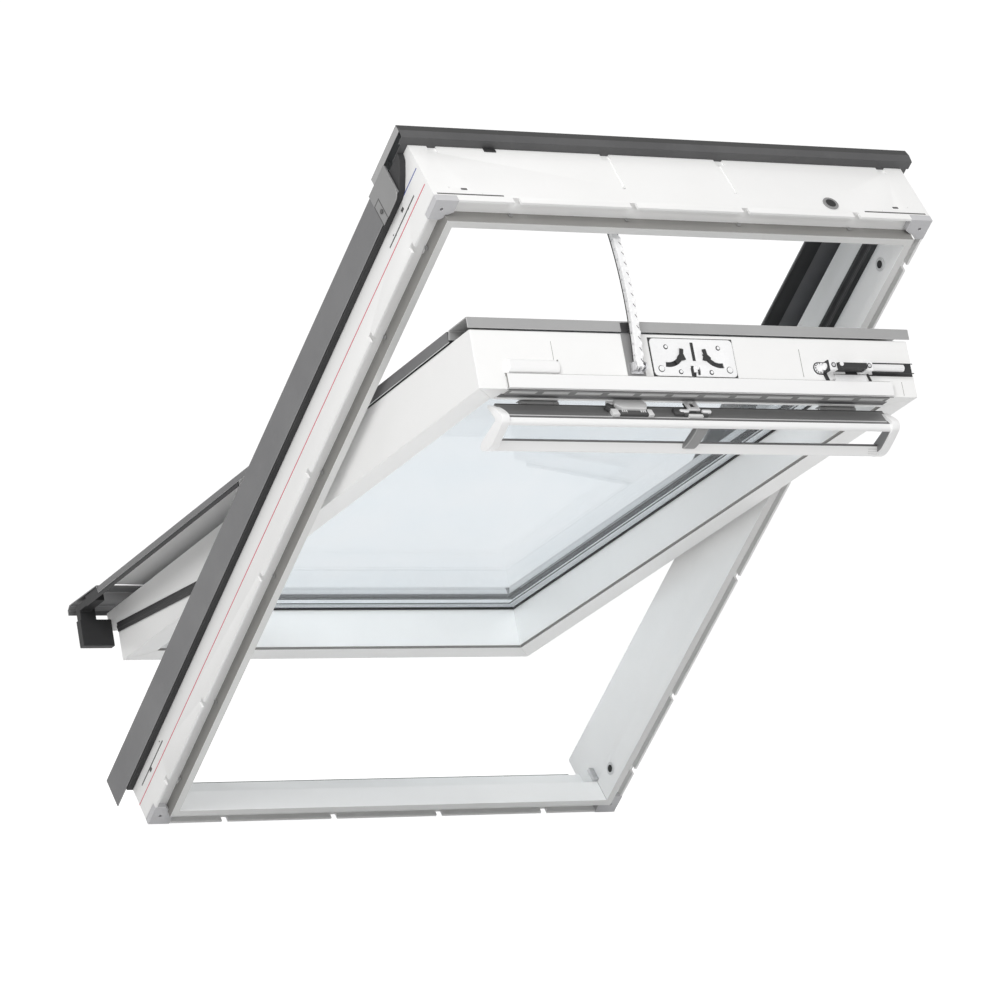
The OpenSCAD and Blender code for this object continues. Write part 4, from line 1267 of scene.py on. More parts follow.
@dataclass
class FrameFittings(SubAssembly):
    """Small fittings of the frame: clip, painted shade in the holes, mitre lines, fasteners, cover seams and
    ends.

    Attributes:
        clip_x: Span of the clip under the top cladding.
        clip_z: Its levels.
        hole_y: Places of the reveal's holes along the sides.
        hole_z: Their level.
        hole_r: Radius of their dark bottoms, which are painted shade.
        gland_r: Radius of the cable hole's dark bottom, which is painted shade.
        mitre_z: Levels that the mitre lines span.
        cover_seam: Size of the lug's outline on the corner cover, along and outward.
        seam: Width of that outline.
    """

    clip_x: Span = (-277.0, -259.0)
    clip_z: Span = (111.0, 117.8)
    hole_y: Point = (-494.4, 509.4)
    hole_z: float = 25.0
    hole_r: float = 5.6
    gland_r: float = 7.6
    mitre_z: Span = (0.3, 36.9)
    cover_seam: Point = (16.0, 34.0)
    seam: float = 1.5

    def clip(self) -> None:
        """Builds the black clip under the top cladding."""
        top = -self.sizes.fy
        (left, right), (low, high) = self.clip_x, self.clip_z
        shape = Shape().box(self.clip_x, span_from(top, -1.6, -0.1), self.clip_z, 0.5)
        shape.box((left + 2, right - 6), span_from(top, -2.4, -1.4), (low + 1.5, high - 2.3), 0.3)
        self.shop.piece(shape, "cladding_clip", Body.FRAME, RUBBER, sash=False)

    def holes(self) -> None:
        """Builds the dark bottoms of the cable hole and of the holes in the reveal, as painted shade."""
        low, high = self.shop.low_high("cable_gland")
        middle = (low + high) / 2
        dark = Shape().rod(Axis.Y, (middle.x, -self.sizes.fy - 1.95, middle.z), 0.6, self.gland_r, 0.2)
        for y in self.hole_y:
            for x in (self.sizes.ix - 1.9, -self.sizes.ix + 1.5):
                dark.rod(Axis.X, (x, y, self.hole_z), 0.4, self.hole_r)
        self.shop.piece(dark, "hole_painted_shade", Body.FRAME, HOLE_SHADE, sash=False)

    def mitres(self) -> None:
        """Builds the fine mitre lines at the lower corners of the reveal."""
        shape = Shape()
        for side in (-1, 1):
            place = Matrix.Translation((side * self.sizes.ix, self.sizes.iy, 0))
            place @= Matrix.Rotation(-side * math.radians(45), 4, "Z")
            shape.box((-0.25, 0.25), (-0.4, 10), self.mitre_z, 0.1, place=place)
        self.shop.piece(shape, "mitre_joints", Body.FRAME, SHADE_AND_SEAM_GREY, sash=False)

    def fasteners(self) -> None:
        """Builds the metal fasteners in the lower corners of the reveal."""
        side, foot = -self.sizes.ix, self.sizes.iy
        shape = Shape().box(span_from(side, 0.1, 9), span_from(foot, -7, -0.2), (37.4, 60), 1.2)
        shape.rod(Axis.X, (side + 8.6, foot - 3.6, 52), 1.2, 2.6, 0.4)
        self.shop.piece(shape.mirrored(), "corner_fasteners", Body.FRAME, ZINC, sash=False)

    def seams(self) -> None:
        """Builds the outline of the lug on the corner covers."""
        low, high = self.shop.low_high("corner_cover_left")
        long, tall = self.cover_seam
        start, end, base = high.y - long, high.y, low.z + 1
        shape = Shape()
        for y, z in (((start, start + self.seam), (base, base + tall)),
                     ((start, end), (base + tall, base + tall + self.seam)),
                     ((end - self.seam, end), (base, base + tall))):
            shape.box(span_from(low.x, -0.15, 0.2), y, z)
        self.shop.piece(shape.mirrored(), "cover_seams", Body.FRAME, INK, sash=False)

    def ends(self) -> None:
        """Builds the pale folded ends of the top cladding."""
        low, high = self.shop.low_high("frame_top_cladding")
        shape = Shape().box(span_from(low.x, -0.2, 0.6), (low.y + 2.8, high.y - 0.2),
                            span_from(high.z, -12, -0.6), 0.2)
        self.shop.piece(shape.mirrored(), "cladding_ends", Body.FRAME, LIGHT_CLAD, sash=False)

    def build(self) -> None:
        """Builds the fittings."""
        for step in (self.clip, self.holes, self.mitres, self.fasteners, self.seams, self.ends):
            step()


@dataclass
class GlassEdge(SubAssembly):
    """What shows round the glass: the room-side seal's lip, the spacer's bright face and its edge.

    Attributes:
        seal: Width of the seal's lip.
        spacer: Width of the spacer's face.
        gap: Gap between lip and spacer.
        line: Widths of the dark lines beside the spacer, near and far.
    """

    seal: float = 3.2
    spacer: float = 9.0
    gap: float = 0.2
    line: Span = (1.2, 0.9)

    def ring(self, shape: Shape, inset: float, wide: float, z: Span, soft: float = 0.0) -> None:
        """Adds four bars round the glass.

        Args:
            shape: Shape that takes them.
            inset: Distance of the outer edge inside the sash's reveal.
            wide: Width of the bars.
            z: Their levels.
            soft: Radius of their edges.
        """
        x, top, foot = self.sizes.gx - inset, self.sizes.gt + inset, self.sizes.gb - inset
        for span in ((-x, wide - x), (x - wide, x)):
            shape.box(span, (top, foot), z, soft)
        for span in ((top, top + wide), (foot - wide, foot)):
            shape.box((wide - x, x - wide), span, z, soft)

    def build(self) -> None:
        """Builds the lip, the spacer's face and its dark lines."""
        lip, strip, edge = Shape(), Shape(), Shape()
        low, high = self.shop.low_high("glass_spacer", sash=True)
        near, far = self.line
        outer = self.seal + self.spacer + 2 * self.gap
        self.ring(lip, 0.1, self.seal, span_from(self.sizes.glass, -2.4, -0.1), 0.6)
        self.ring(strip, self.seal + self.gap, self.spacer, span_from(low.z, 0.3, 2.0), 0.4)
        self.ring(edge, outer, near, span_from(low.z, 0.3, 1.6))
        self.ring(edge, outer, far, (high.z - 0.2 * (high.z - low.z), high.z - 0.2))
        self.shop.piece(lip, "room_seal_lip", Body.SASH, RUBBER)
        self.shop.piece(strip, "spacer_face", Body.SASH, SPACER)
        self.shop.piece(edge, "spacer_edge", Body.SASH, RUBBER)


@dataclass
class ScissorChain(SubAssembly):
    """Push chain between the operator in the frame and the bracket on the sash.

    Attributes:
        pitch: Distance between two pins.
        turn: How far the chain's direction turns along its length, in degrees.
        plate_t: Thickness of a plate.
        lobe: Radius of a plate's round ends.
        lobe_arc: Start and sweep of the round ends, in degrees.
        lobe_steps: Steps of each round end.
        waist: Depth of the core on the side opposite the line of painted shade.
        reach: Distances of the outer and inner plates from the chain's middle.
        pin_r: Radius of a pin.
        pin_span: Half the length of a pin.
        bracket_rise: Height of the first pin in its bracket.
        mouth: Place of the operator's mouth, back from its foot and out from its room side.
    """

    pitch: float = 15.0
    turn: float = 23.0
    plate_t: float = 1.4
    lobe: float = 4.9
    lobe_arc: Span = (40.0, 280.0)
    lobe_steps: int = 12
    waist: float = 3.0
    reach: Span = (3.4, 5.0)
    pin_r: float = 1.7
    pin_span: float = 6.3
    bracket_rise: float = 6.0
    mouth: Point = (6.0, 51.7)

    def path(self) -> list[Vector]:
        """Works out the pins from the sash's bracket to the operator's mouth.

        Returns:
            Their places in the frame's plane.
        """
        low, high = self.shop.low_high("chain_bracket", sash=True)
        pin = Vector(((low.x + high.x) / 2, low.y + self.bracket_rise, (low.z + high.z) / 2))
        start = self.shop.closed.matrix.inverted() @ self.shop.opened.matrix @ pin
        box_low, box_high = self.shop.low_high("chain_operator")
        chord = Vector((pin.x, box_high.y - self.mouth[0], box_low.z + self.mouth[1])) - start
        lean, turn = math.atan2(-chord.y, chord.z), math.radians(self.turn)
        arc = chord.length * (1 + turn ** 2 / 24)
        count = math.floor(arc / self.pitch)
        pins = [start]
        for i in range(count):
            angle = lean + turn * (0.5 - i / (count - 1))
            pins.append(pins[-1] + self.pitch * Vector((0, -math.sin(angle), math.cos(angle))))
        return pins

    def plate(self, shape: Shape, x: float, place: Matrix) -> None:
        """Adds one figure-of-eight plate.

        Args:
            shape: Shape that takes it.
            x: Its left face, from the chain's middle.
            place: Place of its link, whose y runs from pin to pin.
        """
        start, sweep = self.lobe_arc
        outline = []
        for middle, first in ((0.0, start), (self.pitch, start - 180)):
            for k in range(self.lobe_steps + 1):
                angle = math.radians(first + sweep * k / self.lobe_steps)
                outline.append((self.lobe * math.cos(angle) + middle, self.lobe * math.sin(angle)))
        shape.prism(Axis.X, outline, (x, x + self.plate_t), 0.3, 1, place)

    def build(self) -> None:
        """Builds plates, core, a dark line and marks of painted shade, and pins."""
        pins = self.path()
        plates, core, line, rivets = Shape(), Shape(), Shape(), Shape()
        length = (-1, self.pitch + 1)
        for i, (a, b) in enumerate(zip(pins, pins[1:])):
            step = b - a
            place = Matrix.Translation(a) @ Matrix.Rotation(math.atan2(step.z, step.y), 4, "X")
            for side in (-1, 1):
                self.plate(plates, side * self.reach[i % 2] - self.plate_t / 2, place)
            core.box((-5.6, 4.4), length, (-self.lobe, self.waist + 1), 0.5, place=place)
            # Painted shade: a dark line along the chain's left side, and a small dark mark on each link.
            line.box((-6.1, -5.2), length, span_from(-self.lobe, -0.5, 1.3), 0.2, place=place)
            moon = place @ Matrix.Translation((2.4, self.pitch / 2, self.waist + 0.9))
            moon @= Matrix.Rotation(math.radians(35), 4, "Z")
            line.box((-0.4, 0.4), (-2.5, 2.5), (-0.1, 0.3), place=moon)
        for p in pins[1:]:
            rivets.rod(Axis.X, (p.x - self.pin_span, p.y, p.z), 2 * self.pin_span, self.pin_r, 0.4, 16)
        start, end = pins[-1], pins[0]
        self.shop.crossing(plates, "chain_plates", BRIGHT, start, end, ["chain"])
        self.shop.crossing(core, "chain_core", BRIGHT, start, end)
        self.shop.crossing(line, "chain_painted_shade", BLACKENED, start, end)
        self.shop.crossing(rivets, "chain_pins", ZINC, start, end)


@dataclass
class LockPlate(SubAssembly):
    """Dark gasket, screws, catch and levers of the lock on the sash's top face.

    Attributes:
        edge: How far the gasket shows round the plate.
        screw_x: Distance of the screws from the plate's middle.
        screw_z: Their height above its foot.
        screw_r: Radius of a screw.
        rivet_x: Distance of the lower rivets from the middle.
        rivet_z: Their height above the foot.
        cam_x: Distance of the cams' pivots from the middle.
        cam_drop: How far the pivots lie below the plate's head.
        slot_r: Radius of the cams' slots.
        leaf_angle: Where on its slot a lever's leaf sits, in degrees.
        leaf_outline: Corners of the right leaf.
    """

    edge: float = 1.7
    screw_x: float = 53.5
    screw_z: float = 10.0
    screw_r: float = 4.0
    rivet_x: float = 24.0
    rivet_z: float = 6.0
    cam_x: float = 41.0
    cam_drop: float = 12.0
    slot_r: float = 25.0
    leaf_angle: float = -28.0
    leaf_outline: tuple[Point, ...] = ((-6, -6), (3.5, -8), (8, -3), (3, 2), (1.5, 10), (-4.5, 9), (-3, 2))

    def leaf(self, side: int, middle: float, level: float) -> Shape:
        """Makes the lever leaf at the inner end of a cam's slot.

        Args:
            side: -1 for the left cam, 1 for the right one.
            middle: Middle of the plate.
            level: Level of the cam's pivot.

        Returns:
            The leaf.
        """
        angle = math.radians(self.leaf_angle)
        x = middle + side * self.cam_x - side * self.slot_r * math.cos(angle)
        y = self.sizes.st - 3.6
        place = Matrix.Translation((x, 0, level + self.slot_r * math.sin(angle)))
        outline = [(side * u, v) for u, v in self.leaf_outline]
        return Shape().prism(Axis.Y, outline, (y, y + 1.1), 0.4, place=place)

    def build(self) -> None:
        """Builds everything round the plate."""
        low, high = self.shop.low_high("lock_plate", sash=True)
        middle, face, level = (low.x + high.x) / 2, low.y, high.z - self.cam_drop
        screw = (self.screw_x, low.z + self.screw_z)
        rivets = ((self.cam_x, level), (self.rivet_x, low.z + self.rivet_z))
        dark = Shape().box((low.x - self.edge, high.x + self.edge), span_from(self.sizes.st, -0.17, -0.02),
                           (low.z - self.edge, high.z + self.edge))
        bright = Shape()
        for side in (-1, 1):
            dark.rod(Axis.Y, (middle + side * screw[0], face - 0.3, screw[1]), 0.4, self.screw_r + 0.8)
            bright.rod(Axis.Y, (middle + side * screw[0], face - 0.5, screw[1]), 0.5, self.screw_r - 0.4, 0.2)
            for x, z in rivets:
                dark.rod(Axis.Y, (middle + side * x, face - 0.25, z), 0.3, 3.4)
                bright.rod(Axis.Y, (middle + side * x, face - 0.5, z), 0.5, 2.0, 0.2)
        dark.box(span_from(middle, -2.2, 2.4), span_from(face, -0.2, 1.2), span_from(high.z, -31, -5))
        dark.box(span_from(middle, -8, -3.6), (face - 0.5, face), (low.z, low.z + 12), 0.6)
        dark.box(span_from(middle, 2.5, 5.0), (face - 0.5, face), span_from(low.z, 2, 12), 0.6)
        bright.box(span_from(middle, -4.2, 1.4), span_from(face, -2.6, -0.1), span_from(low.z, 5, 13), 0.8)
        bright.box(span_from(middle, -1.4, 3.6), span_from(face, -3.4, -0.4), span_from(low.z, 9, 12.5), 0.8)
        self.shop.piece(dark, "lock_gasket", Body.SASH, RUBBER)
        self.shop.piece(bright, "lock_catch", Body.SASH, BRIGHT)
        for side, body in ((-1, Body.CAM_L), (1, Body.CAM_R)):
            self.shop.piece(self.leaf(side, middle, level), f"lever_{body.value}", body, BLACKENED)


@dataclass
class TopFittings(SubAssembly):
    """Grille inserts, painted shade by the grille and along the flap's top, the bar's back rail, panel lines
    and the chain strip's cap.

    Attributes:
        back_rail: Where the back rail starts on the room face.
        rail_wide: Width of the back rail.
        skin: Levels of the dark band of painted shade off the room face.
        seams: Span and levels of the thin lines on the top face.
    """

    back_rail: float = -491.5
    rail_wide: float = 5.6
    skin: Span = (-0.5, -0.05)
    seams: tuple[tuple[Span, Span], ...] = (((-224.0, -223.4), (76, 106)), ((163.6, 164.4), (64, 104)))

    def room_face(self) -> None:
        """Builds the grille's inserts, the dark band of painted shade above and below the grille, and the
        back rail.
        """
        s = self.sizes
        low, high = self.shop.low_high("vent_grille", sash=True)
        inserts = Shape().box((low.x + 3, high.x - 3), (low.y + 3, high.y - 3), (low.z + 0.5, high.z - 0.1))
        self.shop.piece(inserts, "grille_mesh", Body.SASH, PALE)
        # Painted shade: a dark band on the room face above and below the grille, under the flap.
        across, levels = (low.x - 4, high.x + 6), span_from(s.room, *self.skin)
        band = Shape().box(across, (high.y + 0.4, self.back_rail - 0.4), levels)
        band.box(across, (s.st + 0.2, low.y - 0.2), levels)
        self.shop.piece(band, "room_face_painted_shade", Body.SASH, DARK_CLAD_AND_SHADE)
        rail = Shape().box((low.x - 6, high.x + 8), (self.back_rail, self.back_rail + self.rail_wide),
                           span_from(s.room, -1.4, -0.05), 0.4)
        self.shop.piece(rail, "bar_back_rail", Body.SASH, SHELL)

    def top_face(self) -> None:
        """Builds the chain strip's cap, the lines between the panels and a line of painted shade along the
        flap's top.
        """
        s = self.sizes
        low, high = self.shop.low_high("chain_strip", sash=True)
        cap = Shape().box((low.x, high.x), span_from(s.st, -4.6, -3.6), (high.z, high.z + 13), 0.3)
        self.shop.piece(cap, "chain_strip_cap", Body.SASH, RUBBER)
        low, high = self.shop.low_high("vent_flap", sash=True)
        # Painted shade: a dark line along the top of the vent flap.
        lines = Shape().box((low.x, high.x), span_from(s.st, -0.5, -0.02), span_from(high.z, 0.1, 1.5))
        for x, z in (*self.seams, (span_from(s.sx, -22, -21.4), (40, 60))):
            lines.box(x, span_from(s.st, -0.12, 0.1), z)
        low, high = self.shop.low_high("data_cover", sash=True)
        lines.rod(Axis.Y, (high.x - 3, low.y - 0.15, high.z - 2.5), 0.5, 1.1)
        self.shop.piece(lines, "panel_seams_and_flap_shade", Body.SASH, SHADE_AND_SEAM_GREY)

    def build(self) -> None:
        """Builds the fittings of the sash's top rail."""
        self.room_face()
        self.top_face()


@dataclass
class ControlBar(SubAssembly):
    """End caps, middle arm, channel trims, lock and latch of the control bar.

    Attributes:
        curve_steps: Steps between two points of a rounded outline.
        cap_wide: Width of an end cap.
        lining: Share of the cap's outline that the painted shade on its inner face fills.
        edge_drop: How far the bar's edge lies nearer the room than its box says.
        grip_lean: Lean of the grip, in degrees.
        face: Level of the channel's face.
        ribs: Number of ribs at the grip's end, and of fins in each row of the lock.
        rib: Width of a rib.
    """

    curve_steps: int = 6
    cap_wide: float = 12.0
    lining: float = 0.82
    edge_drop: float = 0.5
    grip_lean: float = 25.0
    face: float = -3.3
    ribs: int = 3
    rib: float = 1.1

    def centre(self, node: str) -> Vector:
        """Middle of a node's box in the sash's plane."""
        low, high = self.shop.low_high(node, sash=True)
        return (low + high) / 2

    def blade(self, points: Sequence[Point]) -> list[Point]:
        """Rounds a closed outline with a curve through its points.

        Args:
            points: Points that the outline passes.

        Returns:
            The rounded outline.
        """
        out = []
        for i in range(len(points)):
            p0, p1, p2, p3 = (Vector(points[(i + k) % len(points)]) for k in (-1, 0, 1, 2))
            for k in range(self.curve_steps):
                t = k / self.curve_steps
                spot = 0.5 * (2 * p1 + (p2 - p0) * t + (2 * p0 - 5 * p1 + 4 * p2 - p3) * t * t
                              + (3 * p1 - p0 - 3 * p2 + p3) * t ** 3)
                out.append((spot.x, spot.y))
        return out

    def caps(self, hinge: Vector, edge: Vector, grip: Vector) -> None:
        """Builds the two end caps and the painted shade on their inner faces.

        Args:
            hinge: Hinge line.
            edge: Middle of the rounded edge.
            grip: Middle of the grip.
        """
        left = self.shop.low_high("bar_caps", sash=True)[0].x
        outline = self.blade([(hinge.y - 3.5, hinge.z - 5), (edge.y - 6.2, edge.z + 10),
                              (edge.y - 7.6, edge.z - 1), (edge.y + 2, edge.z - 8.6),
                              (grip.y - 12, grip.z - 6.4), (grip.y + 5, grip.z - 7.2),
                              (grip.y + 13.4, grip.z - 1.5), (grip.y + 9, grip.z + 6.5),
                              (edge.y + 20, edge.z + 1.5), (edge.y + 9, edge.z + 7),
                              (hinge.y + 1.5, hinge.z - 7)])
        shape = Shape().prism(Axis.X, outline, (left, left + self.cap_wide), 2.2, 3)
        self.shop.piece(shape.mirrored(), "bar_end_caps", Body.BAR, SHELL, replaces=["bar_caps"])
        middle = Vector((sum(p[0] for p in outline), sum(p[1] for p in outline))) / len(outline)
        # Painted shade: a grey plate on each cap's inner face.
        inner = [tuple(middle + (Vector(p) - middle) * self.lining) for p in outline]
        shade = Shape().prism(Axis.X, inner, span_from(left + self.cap_wide, -0.3, 0.25))
        self.shop.piece(shade.mirrored(), "bar_cap_inner_shade", Body.BAR, COVER_GREY)

    def arm(self, edge: Vector, grip: Vector) -> None:
        """Builds the middle arm, which leans more the farther it reaches.

        Args:
            edge: Middle of the rounded edge.
            grip: Middle of the grip.
        """
        low, high = self.shop.low_high("bar_arm", sash=True)
        outline = self.blade([(edge.y + 5.4, edge.z + 3.4), (edge.y + 5.2, edge.z - 3),
                              (edge.y + 14, edge.z - 9), (grip.y - 7, grip.z - 3.5),
                              (grip.y - 5.2, grip.z + 2.5), (edge.y + 17, edge.z - 0.5)])
        shape = Shape().prism(Axis.X, outline, (low.x, high.x), 1.6, 3)
        for vert in shape.mesh.verts:
            reach = (vert.co.y - edge.y) / (grip.y - edge.y)
            vert.co.x += 3.0 - 9.0 * reach * reach
        self.shop.piece(shape, "bar_middle_arm", Body.BAR, COVER_GREY, replaces=["bar_arm"])

    def trims(self, slope: Matrix, reach: float, grip: Vector) -> None:
        """Builds dark lines on the channel, a painted highlight on it, a dark strip along the grip's upper
        side and the grip's ribs.

        Args:
            slope: From the channel's face to the sash's plane.
            reach: Distance from the hinge line to the rounded edge.
            grip: Middle of the grip.
        """
        low, high = self.shop.low_high("bar_channel", sash=True)
        span = (low.x + 0.5, high.x - 0.5)
        lean = Matrix.Translation((0, grip.y, grip.z)) @ Matrix.Rotation(math.radians(self.grip_lean), 4, "X")
        dark = Shape().box(span, (5.0, 6.8), (self.face, -2.8), place=slope)
        dark.box(span, span_from(reach, -6.4, -5.3), (-3.25, -2.8), place=slope)
        # A dark strip along the grip's upper side.
        dark.box(span, (-4.75, 4.75), (5.2, 8.2), 1.2, place=lean)
        self.shop.piece(dark, "bar_dark_trims", Body.BAR, DARK_CLAD_AND_SHADE)
        # Painted highlight: a pale streak on the channel near its rounded edge; the loop adds the grip's real
        # ribs.
        pale = Shape().box(span, span_from(reach, -11.5, -9.6), (-3.2, -2.8), place=slope)
        for k in range(self.ribs):
            z = -5.0 + 3.2 * k
            pale.box(span_from(span[1], -19, -4), (-5.3, -4.3), (z, z + self.rib), 0.4, place=lean)
        self.shop.piece(pale, "bar_ribs_and_highlight", Body.BAR, PALE)

    def lock(self, slope: Matrix, x: float) -> None:
        """Builds the electric lock on the channel.

        Args:
            slope: From the channel's face to the sash's plane.
            x: The lock's left end.
        """
        outline = [(x + u, v) for u, v in ((9, 2), (52, 2), (56, 11), (51, 21), (15, 21), (5, 12))]
        body = Shape().prism(Axis.Z, outline, (-12, -5), 0.7, 1, slope)
        body.box(span_from(x, 23, 35), (-3, 5), (-9, -5), 1.0, place=slope)
        for start, end in ((-3, 8), (53, 61)):
            body.box(span_from(x, start, end), (18, 30), (-9, self.face), 1.0, place=slope)
        body.box(span_from(x, -4, 9), (4, 9), (-10, -6), 0.8, place=slope)
        for k in range(self.ribs):
            for start in (x + 13, x + 42):
                body.box(span_from(start + 3.2 * k, 0, 1.5), (20, 25), (-9.4, -6), 0.3, place=slope)
        self.shop.piece(body, "lock_shell", Body.BAR, BOX_GREY, replaces=["lock_box"])
        dark = Shape().box(span_from(x, 9, 53), (20, 28.5), (-8.4, self.face), 0.8, place=slope)
        dark.box(span_from(x, -6, 6), (9, 20), (-8.5, self.face), 0.8, place=slope)
        dark.rod(Axis.Z, (x - 4, 13.5, -11), 7, 4.2, 0.6, place=slope)
        dark.box(span_from(x, 52, 55), (8, 26), (-8, self.face), 0.5, place=slope)
        self.shop.piece(dark, "lock_feet", Body.BAR, INK)

    def hook(self, slope: Matrix) -> None:
        """Builds the steel latch beside the lock.

        Args:
            slope: From the channel's face to the sash's plane.
        """
        steel = Shape()
        for x, y in (((-16, -10.5), (0, 20)), ((-3.5, 2), (0, 20)),
                     ((-12, -2), (0, 5)), ((-12, -2), (14, 20))):
            steel.box(x, y, (-11, -8), 0.6, place=slope)
        for x in ((-30, -15), (5, 20)):
            steel.box(x, (16.5, 22.5), (-10, -4.5), 2.4, 3, place=slope)
        self.shop.piece(steel, "latch_hook", Body.BAR, BRIGHT, replaces=["latch"])
        dark = Shape().box((-38, -24), (13, 25), (-8.4, self.face), 1.0, place=slope)
        dark.box((-24, 14), (21, 26.5), (-7, self.face), 0.6, place=slope)
        dark.box((-14, 0), (-1, 16), (-6, self.face), 0.5, place=slope)
        self.shop.piece(dark, "latch_seat", Body.BAR, INK)
        foot = Shape().box((-18, 4), (25, 30), (-7.6, self.face), 0.6, place=slope)
        self.shop.piece(foot, "latch_foot", Body.BAR, BOX_GREY)

    def build(self) -> None:
        """Builds the bar's caps, arm, trims, lock and latch."""
        hinge, edge, grip = (self.centre(n) for n in ("bar_hinge_pins", "bar_edge", "bar_grip"))
        edge.z -= self.edge_drop
        rise, run = edge.z - hinge.z, edge.y - hinge.y
        slope = Matrix.Translation((0, hinge.y, hinge.z)) @ Matrix.Rotation(math.atan2(rise, run), 4, "X")
        self.caps(hinge, edge, grip)
        self.arm(edge, grip)
        self.trims(slope, math.hypot(rise, run), grip)
        self.lock(slope, self.shop.low_high("lock_box", sash=True)[0].x)
        self.hook(slope)


@dataclass
class BarrelBolt(SubAssembly):
    """Dark seat, strap, base and screws of the barrel bolt.

    Attributes:
        edge: How far the seat shows round the bolt.
        eye: Radius of the round end of the bolt's plate.
        holes: Number of holes round that end.
        hole_ring: Radius of the circle that they lie on.
        hole_arc: Angle of the first hole and between two, in degrees.
        screws: Places of the screws from the bolt's left end.
        strap_x: Place of the strap.
        far_x: Place of the dark line at the strap's far side.
        lean: Lean of the strap, in degrees.
    """

    edge: float = 1.6
    eye: float = 7.5
    holes: int = 7
    hole_ring: float = 6.4
    hole_arc: Span = (84.0, 32.0)
    screws: Point = (22.0, 80.0)
    strap_x: float = 15.0
    far_x: float = 82.0
    lean: float = -20.0

    def seat(self, low: Vector, high: Vector, straps: tuple[Matrix, Matrix]) -> None:
        """Builds everything dark round the bolt.

        Args:
            low: Lowest corner of the bolt's housing.
            high: Its highest corner.
            straps: Places of the strap and of the line at its far side.
        """
        st, sx, z = self.sizes.st, self.sizes.sx, (low.z + high.z) / 2
        rod_y = self.shop.low_high("bolt_rod", sash=True)[0].y
        skin, foot = span_from(st, -0.16, -0.02), span_from(st, -2.2, -0.1)
        shape = Shape().box((low.x + 6, sx - 1.5), skin, (low.z - self.edge, high.z + self.edge))
        shape.rod(Axis.Y, (low.x + self.eye, skin[0], z), 0.14, self.eye + self.edge)
        shape.box(span_from(low.x, 27, 74), (rod_y + 1.0, foot[0]), span_from(z, -5.2, 2.5), 0.4)
        shape.box(span_from(low.x, 13, 15.6), (low.y + 0.4, foot[0]), (low.z - 1, high.z - 0.3), 0.5)
        shape.box((-3, 2), foot, (-12, 3), 0.4, place=straps[0])
        shape.box((0, 3), foot, (-12, 2), 0.4, place=straps[1])
        for x in self.screws:
            shape.rod(Axis.Y, (low.x + x, low.y - 0.35, z), 0.5, 3.6)
        first, step = self.hole_arc
        for k in range(self.holes):
            angle = math.radians(first + step * k)
            x = low.x + self.eye + self.hole_ring * math.cos(angle)
            shape.rod(Axis.Y, (x, st - 2.3, z + self.hole_ring * math.sin(angle)), 0.6, 1.0)
        for level in (low.z + 0.2, high.z - 1.2):
            shape.box((low.x + 90, sx - 3), span_from(st, -7.2, -6.2), (level, level + 1.2), 0.2)
        self.shop.piece(shape, "bolt_seat", Body.SASH, RUBBER)

    def build(self) -> None:
        """Builds what stands round the bolt."""
        low, high = self.shop.low_high("bolt_housing", sash=True)
        st, z = self.sizes.st, (low.z + high.z) / 2
        turn = Matrix.Rotation(math.radians(self.lean), 4, "Y")
        straps = tuple(Matrix.Translation((low.x + x, 0, low.z)) @ turn for x in (self.strap_x, self.far_x))
        self.seat(low, high, straps)
        plate = Shape().box((2, 12), span_from(st, -2.4, -0.2), (-12, 3), 0.4, place=straps[0])
        self.shop.piece(plate, "bolt_strap", Body.SASH, BOX_GREY)
        base = Shape().box(span_from(low.x, 30, 82), span_from(st, -1.4, -0.1),
                           span_from(low.z, -11, -1), 0.3)
        self.shop.piece(base, "bolt_base", Body.SASH, BRIGHT)
        screws = Shape()
        for x in self.screws:
            screws.rod(Axis.Y, (low.x + x, low.y - 0.9, z), 0.8, 2.5, 0.3)
        self.shop.piece(screws, "bolt_screws", Body.SASH, ZINC)


# ----------------------------------------------------------------- the studio


@dataclass(frozen=True)
class Lamp:
    """A soft square light that looks at the window.

    Attributes:
        name: Its name.
        place: Where it stands, in metres.
        size: Its side, in metres.
        power: Its power, in watts.
    """

    name: str
    place: tuple[float, float, float]
    size: float
    power: float


